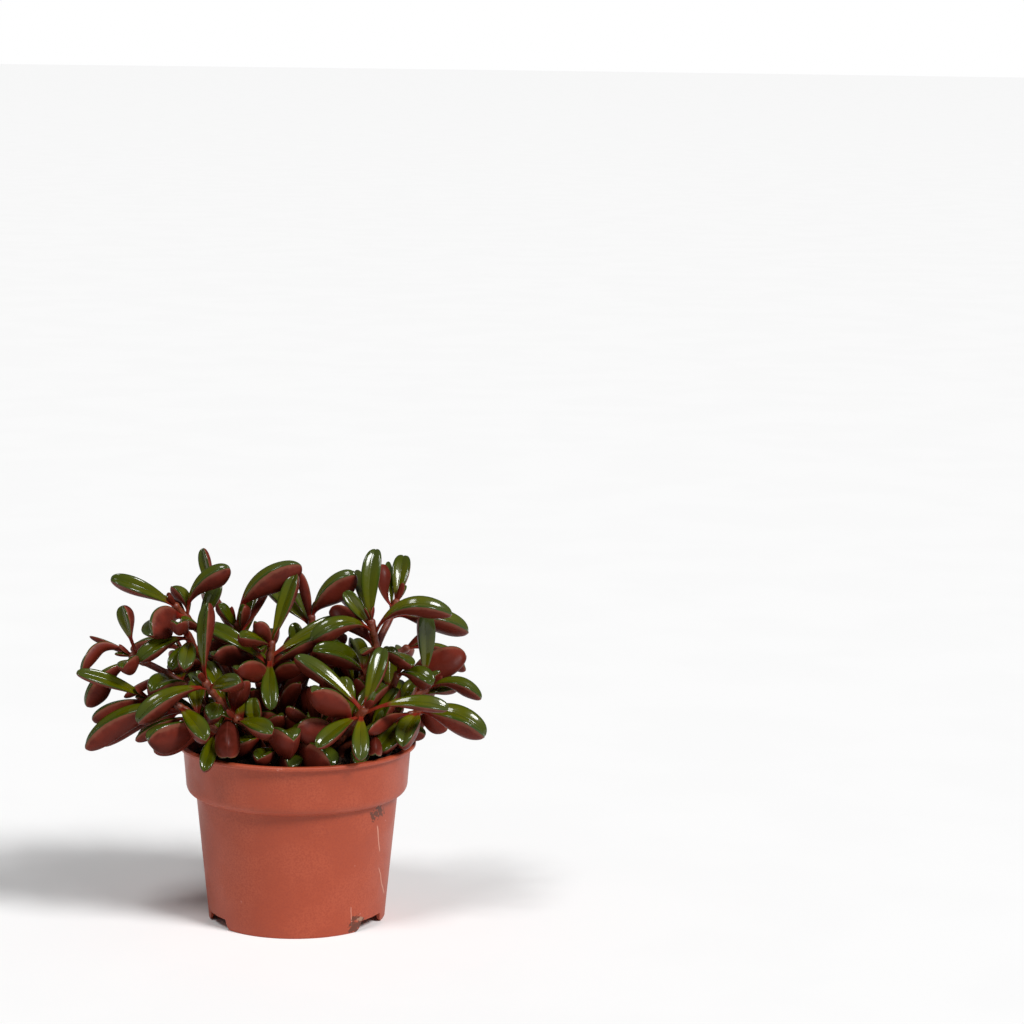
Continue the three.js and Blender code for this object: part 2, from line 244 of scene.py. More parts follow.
GRAIN_INPUTS = {"Place": (VECTOR, None), "Fine": (FLOAT, 2000.0), "Broad": (FLOAT, 300.0)}
GRAIN_INPUTS["Broad share"] = (FLOAT, 0.5)
grain, given, result = new_group("grain", GRAIN_INPUTS, {"Height": FLOAT})
fine, broad = (
    add_node(grain, "ShaderNodeTexNoise", {"Vector": given.outputs["Place"], "Scale": given.outputs[size]})
    for size in ("Fine", "Broad")
)
both = mix_numbers(grain, given.outputs["Broad share"], fine.outputs["Fac"], broad.outputs["Fac"])
grain.links.new(both, result.inputs["Height"])


def use_mottle(tree, place, size, start=0.4, end=0.6):
    """Places the mottle group in a material and gives back its mask."""
    sockets = {"Place": place, "Size": size, "Start": start, "End": end}
    return add_node(tree, "ShaderNodeGroup", sockets, node_tree=mottle).outputs["Mask"]


def use_grain(tree, shader, place, fine, broad, share, strength, height):
    """Places the grain group in a material and lets it roughen the shader's surface."""
    sockets = {"Place": place, "Fine": fine, "Broad": broad, "Broad share": share}
    grain_height = add_node(tree, "ShaderNodeGroup", sockets, node_tree=grain).outputs["Height"]
    sockets = {"Height": grain_height, "Strength": strength, "Distance": height * MM}
    bump = add_node(tree, "ShaderNodeBump", sockets)
    tree.links.new(bump.outputs["Normal"], shader.inputs["Normal"])


floor_finish, tree, shader, object_place = new_finish("studio_floor")
floor_mask = use_mottle(tree, object_place, 9.0)
floor_tint = mix_colours(tree, floor_mask, (0.94, 0.94, 0.94, 1), (0.95, 0.95, 0.95, 1))
tree.links.new(floor_tint, shader.inputs["Base Color"])
shader.inputs["Roughness"].default_value = 0.8
floor.data.materials.append(floor_finish)
print("node groups:", mottle.name, "and", grain.name)

# %% [markdown]
# ## Modelling helpers
#
# A lathe, a leaf and a plug of soil all start the same way here: a circle is extruded, moved and
# resized again and again, which draws out a skin ring by ring. One helper does one such pull, and one
# pulls a whole turned piece, such as the pot. Another selects points by their numbers, because without
# a window nothing can be picked with the mouse.

# %% Modelling helpers
def select_numbers(piece, numbers):
    """In edit mode, selects the points with these numbers."""
    mesh = bmesh.from_edit_mesh(piece.data)
    mesh.verts.ensure_lookup_table()
    for part in (mesh.faces, mesh.edges, mesh.verts):
        for element in part:
            element.select = False
    for number in numbers:
        mesh.verts[number].select = True
    mesh.select_flush_mode()
    bmesh.update_edit_mesh(piece.data)


def pull_ring(move, scale, centre):
    """Extrudes the selected ring by move, then resizes the new ring about its centre."""
    bpy.ops.mesh.extrude_region_move(TRANSFORM_OT_translate={"value": move})
    bpy.ops.transform.resize(value=scale, center_override=centre)


def turned_skin(sides, rings):
    """A disc drawn out round the pot's axis through rings of (radius, height), in millimetres."""
    deselect_all()
    (radius, height), *others = rings
    bpy.ops.mesh.primitive_circle_add(
        vertices=sides, radius=radius * MM, fill_type="NGON", location=metres((0, 0, height))
    )
    piece = bpy.context.object
    bpy.ops.object.transform_apply(location=True)
    bpy.ops.object.mode_set(mode="EDIT")
    bpy.ops.mesh.select_all(action="SELECT")
    for next_radius, next_height in others:
        share = next_radius / radius
        pull_ring((0, 0, (next_height - height) * MM), (share, share, 1), metres((0, 0, next_height)))
        radius, height = next_radius, next_height
    bpy.ops.mesh.select_all(action="SELECT")
    bpy.ops.mesh.normals_make_consistent(inside=False)
    bpy.ops.object.mode_set(mode="OBJECT")
    return piece


def apply_modifier(piece, kind, **settings):
    """Adds a modifier with these settings and applies it."""
    bpy.context.view_layer.objects.active = piece
    modifier = piece.modifiers.new(kind.title(), kind)
    for key, value in settings.items():
        setattr(modifier, key, value)
    bpy.ops.object.modifier_apply(modifier=modifier.name)


def finished(piece, name, slot, *nodes):
    """Names a piece, lets it ride with the plant and stand for measured parts."""
    piece.name = piece.data.name = name
    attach(piece, "root")
    if nodes:
        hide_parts(*nodes)
    return piece


def count_triangles(pieces):
    return sum(len(face.vertices) - 2 for piece in pieces for face in piece.data.polygons)


# %% [markdown]
# ## The pot
#
# A nursery pot is blown or pressed from one thin sheet of plastic: a wall that leans outwards, a rim
# band that stands out over it, a thin lip on top, and a floor that stands a little above the ground.
# The skirt below the floor is cut by three wide notches with rounded lower corners, which let water
# out. Drawing out a circle ring by ring gives the whole skin, inside and out, with an even thickness.
# Spinning an outline would do as well, but the rings are easier to read and to change one by one.

# %% Outline of the pot
POT_SIDES = 144
WALL = 1.4
FLOOR_UNDER, FLOOR_RADIUS = 5.6, 43
BAND_FOOT, WALL_HEAD = (56, 70.6), (51, 64.8)


def shoulder_rings(high, low, steps):
    """Rings (radius, height) on the rounded shoulder from the band in to the wall."""
    corner = (high[0], low[1])
    rings = []
    for t in (step / steps for step in range(1, steps + 1)):
        weights = (1 - t) ** 2, 2 * t * (1 - t), t * t
        rings.append(tuple(float(np.dot(weights, axis)) for axis in zip(high, corner, low)))
    return rings


SHOULDER = shoulder_rings(BAND_FOOT, WALL_HEAD, 7)
OUTSIDE = [(43.2, 0.3), (43.5, 0), (44.3, 0), (44.7, 0.4), (45.15, FLOOR_UNDER), (50.9, 63.9)]
OUTSIDE += [*reversed(SHOULDER), BAND_FOOT, (57.35, 87.6), (57.55, 88.5), (59.5, 88.6), (60, 89.1)]
OUTSIDE += [(60, 90.1), (59.6, 90.6), (57.2, 90.6)]
INSIDE = [(56.3, 89.9), (54.7, 71.4), *((r - WALL, z + WALL) for r, z in SHOULDER), (43.9, 9), (42, 7)]

# %% Draw out the pot
pot = turned_skin(POT_SIDES, [(FLOOR_RADIUS, FLOOR_UNDER), *OUTSIDE, *INSIDE])
print("pot skin:", len(pot.data.polygons), "faces")

# %% [markdown]
# The notches and drain holes are cut with boolean modifiers. The cutter for a notch is a flat outline,
# made thick: wide at the ground, then a quarter circle on each side, then straight up. What it leaves
# standing are three feet with rounded corners. The feet carry the pot, so they reach down to the floor.

# %% Cut the notches and the drain holes
NOTCHES, FIRST_NOTCH = 3, math.radians(86.5)
NOTCH_WIDTH, NOTCH_HEIGHT, NOTCH_ROUND, NOTCH_CORNER = 17.8, 5.2, 4.2, 0.6
ROUND_STEPS = 8
SKIRT_RADIUS, NOTCH_CUT = 44, 16
DRAIN_HOLES, DRAIN_CIRCLE, DRAIN_RADIUS, DRAIN_CUT = 8, 27, 3.5, 8


def notch_cutter(angle):
    """The right side of a notch goes up from below the ground, and the left side mirrors it."""
    half = NOTCH_WIDTH / 2
    side = [(half + NOTCH_ROUND, -2), (half + NOTCH_ROUND, 0)]
    for step in range(1, ROUND_STEPS + 1):
        turn = math.pi / 2 * step / ROUND_STEPS
        side.append((half + NOTCH_ROUND * (1 - math.sin(turn)), NOTCH_ROUND * (1 - math.cos(turn))))
    side += [(half, NOTCH_HEIGHT - NOTCH_CORNER), (half - NOTCH_CORNER, NOTCH_HEIGHT)]
    outline = side + [(-x, z) for x, z in reversed(side)]
    mesh = bpy.data.meshes.new("notch_cutter")
    mesh.from_pydata([(x * MM, 0, z * MM) for x, z in outline], [], [range(len(outline))])
    cutter = bpy.data.objects.new("notch_cutter", mesh)
    scene.collection.objects.link(cutter)
    apply_modifier(cutter, "SOLIDIFY", thickness=NOTCH_CUT * MM, offset=0)
    to_skirt = Matrix.Translation((0, SKIRT_RADIUS * MM, 0))
    facing = Matrix.Rotation(angle - math.pi / 2, 4, "Z")
    cutter.data.transform(Matrix.Translation(metres((0, 0, 0))) @ facing @ to_skirt)
    return cutter


def drain_cutter(from_axis, angle):
    place = metres((from_axis * math.cos(angle), from_axis * math.sin(angle), FLOOR_UNDER + WALL / 2))
    bpy.ops.mesh.primitive_cylinder_add(
        vertices=24, radius=DRAIN_RADIUS * MM, depth=DRAIN_CUT * MM, location=place
    )
    bpy.ops.object.transform_apply(location=True)
    return bpy.context.object


cutters = [notch_cutter(FIRST_NOTCH + turn * math.tau / NOTCHES) for turn in range(NOTCHES)]
cutters += [drain_cutter(DRAIN_CIRCLE, turn * math.tau / DRAIN_HOLES) for turn in range(DRAIN_HOLES)]
cutters.append(drain_cutter(0, 0))
for cutter in cutters:
    apply_modifier(pot, "BOOLEAN", operation="DIFFERENCE", object=cutter, solver="EXACT")
    bpy.data.objects.remove(cutter)
apply_modifier(pot, "BEVEL", width=0.25 * MM, segments=2, limit_method="ANGLE", angle_limit=math.radians(40))
deselect_all()
pot.select_set(True)
bpy.ops.object.shade_smooth_by_angle(angle=math.radians(35))
finished(pot, "nursery_pot", "pot_plastic", "pot")
print("pot triangles:", count_triangles([pot]))

# %% [markdown]
# The plastic is satin and terracotta coloured, coloured right through, with a very fine cloudiness from
# moulding. This pot has been handled: small pale scuffs are scattered over it, three pale hairlines run
# down the right, and wet soil has dried in the corner under the band and beside one foot. The marks
# are found from the place on the pot, so they stay where they are when the camera moves.

# %% Pot plastic
pot_finish, tree, shader, object_place = new_finish("terracotta_plastic")
to_axis = {"Vector": object_place, "Location": tuple(-POT_AXIS * MM)}
centred = add_node(tree, "ShaderNodeMapping", to_axis).outputs["Vector"]
across, depth, height = add_node(tree, "ShaderNodeSeparateXYZ", {"Vector": centred}).outputs
front = fade(tree, depth, -0.01, -0.015)


def streak(x_start, x_end, z_start, z_end, wide, waver, size):
    """A thin line on the front of the pot from one place to another, in millimetres."""
    wobble = add_node(tree, "ShaderNodeTexNoise", {"Vector": centred, "Scale": size}).outputs["Fac"]
    swing = times(tree, minus(tree, wobble, 0.5), waver * MM)
    course = {"Value": height, "From Min": z_start * MM, "From Max": z_end * MM}
    course |= {"To Min": x_start * MM, "To Max": x_end * MM}
    line = add_node(tree, "ShaderNodeMapRange", course).outputs["Result"]
    off = reckon(tree, "ABSOLUTE", minus(tree, across, plus(tree, line, swing)))
    along = fade(tree, height, z_start * MM, z_end * MM)
    between_ends = times(tree, fade(tree, along, 0, 0.04), fade(tree, along, 1, 0.96))
    return times(tree, times(tree, between_ends, fade(tree, off, wide * MM, wide * MM * 0.3)), front)


def patch(x, z, half_wide, half_high, ragged, size):
    """A ragged spot on the front of the pot, in millimetres."""
    noise = {"Vector": centred, "Scale": size, "Detail": 6}
    spread = add_node(tree, "ShaderNodeTexNoise", noise).outputs["Fac"]
    away_x = reckon(tree, "DIVIDE", minus(tree, across, x * MM), half_wide * MM)
    away_z = reckon(tree, "DIVIDE", minus(tree, height, z * MM), half_high * MM)
    near = plus(tree, reckon(tree, "POWER", away_x, 2), reckon(tree, "POWER", away_z, 2))
    level = plus(tree, near, times(tree, minus(tree, 0.5, spread), ragged))
    return times(tree, fade(tree, level, 1.0, 0.6), front)


HAIRLINES = (
    (41.5, 39.5, 38, 55, 0.35, 3, 60),
    (44, 40.5, 13, 32, 0.3, 2, 90),
    (27.5, 26.5, 3, 15, 0.25, 1.5, 120),
)
colour = mix_colours(tree, use_mottle(tree, centred, 40), rgb(164, 70, 42), rgb(171, 77, 49))
colour = mix_colours(tree, use_mottle(tree, centred, 1100, 0.35, 0.7), colour, rgb(157, 66, 42))
scuffs = times(tree, use_mottle(tree, centred, 260, 0.69, 0.74), use_mottle(tree, centred, 35, 0.5, 0.6))
colour = mix_colours(tree, times(tree, scuffs, 0.45), colour, rgb(205, 150, 135))
for hairline in HAIRLINES:
    colour = mix_colours(tree, times(tree, streak(*hairline), 0.6), colour, rgb(214, 165, 145))
under_band, beside_foot = patch(39.5, 60.5, 3.4, 3.4, 7, 500), patch(29.5, 3.5, 3.6, 5.0, 8, 420)
dried_soil = reckon(tree, "MAXIMUM", under_band, beside_foot)
colour = mix_colours(tree, times(tree, dried_soil, 0.8), colour, rgb(70, 42, 28))
pale_crust = patch(31.5, 6.5, 1.6, 1.2, 3, 700)
colour = mix_colours(tree, times(tree, pale_crust, 0.7), colour, rgb(150, 132, 110))
tree.links.new(colour, shader.inputs["Base Color"])
satin = use_mottle(tree, centred, 60)
tree.links.new(fade(tree, satin, 0, 1, 0.42, 0.5), shader.inputs["Roughness"])
shader.inputs["Specular IOR Level"].default_value = 0.35
use_grain(tree, shader, centred, 3500, 180, 0.4, 0.12, 0.3)
pot.data.materials.append(pot_finish)
print("finish:", pot_finish.name)

# %% [markdown]
# ## The potting mix
#
# Peat, bark crumbs and roots fill the pot to just under its lip. From above only the crumbly top shows,
# and through the drain holes a little of the underside, so it is one plug with a rough top. The plug is
# drawn out from a circle as the pot was, its top rings are roughened by a displace modifier, and loose
# crumbs and pale fibres are laid on it.

# %% Plug of potting mix
MIX_SIDES = 96
SOIL_HEIGHT, ROUGH_ABOVE = 83, 81.9
EDGE_RADIUS, EDGE_HEIGHT = 54.9, 81.6
PLUG_SIDE = [(42, 7.4), (43.0, 8.6), (49.3, 66.9), (50.9, 66.6), (53.0, 68.0), (54.3, 72.0), (55.0, 79.0)]
PLUG_SIDE.append((EDGE_RADIUS, EDGE_HEIGHT))
PLUG_TOP = [(EDGE_RADIUS - 2.7 * n, min(SOIL_HEIGHT, EDGE_HEIGHT + 0.35 * n)) for n in range(1, 20)]

mix = turned_skin(MIX_SIDES, PLUG_SIDE + PLUG_TOP)
top = mix.vertex_groups.new(name="top")
top.add([point.index for point in mix.data.vertices if point.co.z > ROUGH_ABOVE * MM], 1, "ADD")
lumps = bpy.data.textures.new("lumps", "CLOUDS")
lumps.noise_scale, lumps.noise_depth = 9 * MM, 3
rough_top = {"vertex_group": "top", "texture": lumps, "texture_coords": "LOCAL", "direction": "Z"}
apply_modifier(mix, "DISPLACE", strength=4.5 * MM, mid_level=0.5, **rough_top)
deselect_all()
print("plug faces:", len(mix.data.polygons))

# %% Crumbs
CRUMBS, CRUMB_REACH = 620, 53.2
chance = random.Random(7)


def surface_height(x, y):
    """Height of the potting mix under a place, found by looking straight down at it."""
    hit, where, _, _ = mix.ray_cast(metres((x, y, 200)), (0, 0, -1))
    return where.z / MM if hit else EDGE_HEIGHT + 0.4


def anywhere(reach):
    """A random distance from the pot's axis and an angle, spread evenly over the mix."""
    return reach * math.sqrt(chance.random()), chance.random() * math.tau


bpy.ops.mesh.primitive_ico_sphere_add(subdivisions=1, radius=1 * MM)
crumb = bpy.context.object
places, faces = [], []
for number in range(CRUMBS):
    spread, angle = anywhere(CRUMB_REACH)
    x, y = spread * math.cos(angle), spread * math.sin(angle)
    size = chance.choice((0.5, 0.7, 0.9, 1.2, 1.9))
    turn = Matrix.Rotation(chance.random() * 6, 4, (chance.random(), chance.random(), 1))
    flat = Matrix.Diagonal((size * chance.uniform(0.7, 1.6), size, size * chance.uniform(0.5, 0.9), 1))
    at = Matrix.Translation(metres((x, y, surface_height(x, y) + size * 0.2)))
    first = len(places)
    for point in crumb.data.vertices:
        places.append(at @ turn @ flat @ (point.co * chance.uniform(0.8, 1.2)))
    faces += [tuple(first + i for i in face.vertices) for face in crumb.data.polygons]
bpy.data.objects.remove(crumb)
crumb_mesh = bpy.data.meshes.new("crumbs")
crumb_mesh.from_pydata(places, [], faces)
crumbs = bpy.data.objects.new("crumbs", crumb_mesh)
scene.collection.objects.link(crumbs)
print("crumbs:", len(crumbs.data.polygons), "faces")

# %% Fibres
FIBRES, FIBRES_IN_FRONT = 70, 16
FIBRE_REACH, MIX_REACH = 50, 53

fibre_curve = bpy.data.curves.new("fibres", "CURVE")
fibre_curve.dimensions = "3D"
fibre_curve.bevel_depth = 0.22 * MM
fibre_curve.bevel_resolution = 0
fibre_curve.resolution_u = 3
for number in range(FIBRES):
    spread, angle = anywhere(FIBRE_REACH)
    if number < FIBRES_IN_FRONT:
        spread, angle = chance.uniform(46, 52), math.radians(chance.uniform(285, 312))
    middle = Vector((spread * math.cos(angle), spread * math.sin(angle), 0))
    heading = Vector((1, 0, 0))
    heading.rotate(Matrix.Rotation(chance.random() * math.tau, 3, "Z"))
    half_length = chance.uniform(1.5, 5)
    spline = fibre_curve.splines.new("BEZIER")
    spline.bezier_points.add(2)
    for point, share in zip(spline.bezier_points, (-1, 0, 1)):
        place = middle + heading * half_length * share + Vector((0, chance.uniform(-1, 1), 0))
        if place.length > MIX_REACH:
            place *= MIX_REACH / place.length
        place.z = surface_height(place.x, place.y) + 0.5 + chance.uniform(0, 1.2)
        point.co = metres(place)
        point.handle_left_type = point.handle_right_type = "AUTO"
fibres = bpy.data.objects.new("fibres", fibre_curve)
scene.collection.objects.link(fibres)
deselect_all()
fibres.select_set(True)
bpy.context.view_layer.objects.active = fibres
bpy.ops.object.convert(target="MESH")
print("fibres:", len(fibres.data.polygons), "faces")

# %% [markdown]
# Damp peat is nearly black brown and quite rough, with crumbs a little lighter where they have dried.
# The fibres are bits of straw and dry root.

# %% Potting mix finishes
mix_finish, tree, shader, object_place = new_finish("damp_potting_mix")
colour = mix_colours(tree, use_mottle(tree, object_place, 160, 0.35, 0.7), rgb(36, 22, 15), rgb(62, 42, 28))
colour = mix_colours(tree, use_mottle(tree, object_place, 900, 0.62, 0.7), colour, rgb(104, 76, 50))
tree.links.new(colour, shader.inputs["Base Color"])
tree.links.new(fade(tree, use_mottle(tree, object_place, 300), 0, 1, 0.75, 0.95), shader.inputs["Roughness"])
use_grain(tree, shader, object_place, 1800, 500, 0.5, 0.8, 0.8)

straw_finish, tree, shader, object_place = new_finish("dry_fibre")
colour = mix_colours(tree, use_mottle(tree, object_place, 300), rgb(150, 112, 76), rgb(196, 164, 122))
tree.links.new(colour, shader.inputs["Base Color"])
shader.inputs["Roughness"].default_value = 0.7
use_grain(tree, shader, object_place, 3000, 900, 0.5, 0.3, 0.2)

for piece, finish in ((mix, mix_finish), (crumbs, mix_finish), (fibres, straw_finish)):
    piece.data.materials.clear()
    piece.data.materials.append(finish)
deselect_all()
for piece in (crumbs, fibres, mix):
    piece.select_set(True)
bpy.context.view_layer.objects.active = mix
bpy.ops.object.join()
bpy.ops.object.shade_smooth_by_angle(angle=math.radians(50))
finished(mix, "potting_mix", "potting_soil", "soil")
print("potting mix triangles:", count_triangles([mix]))
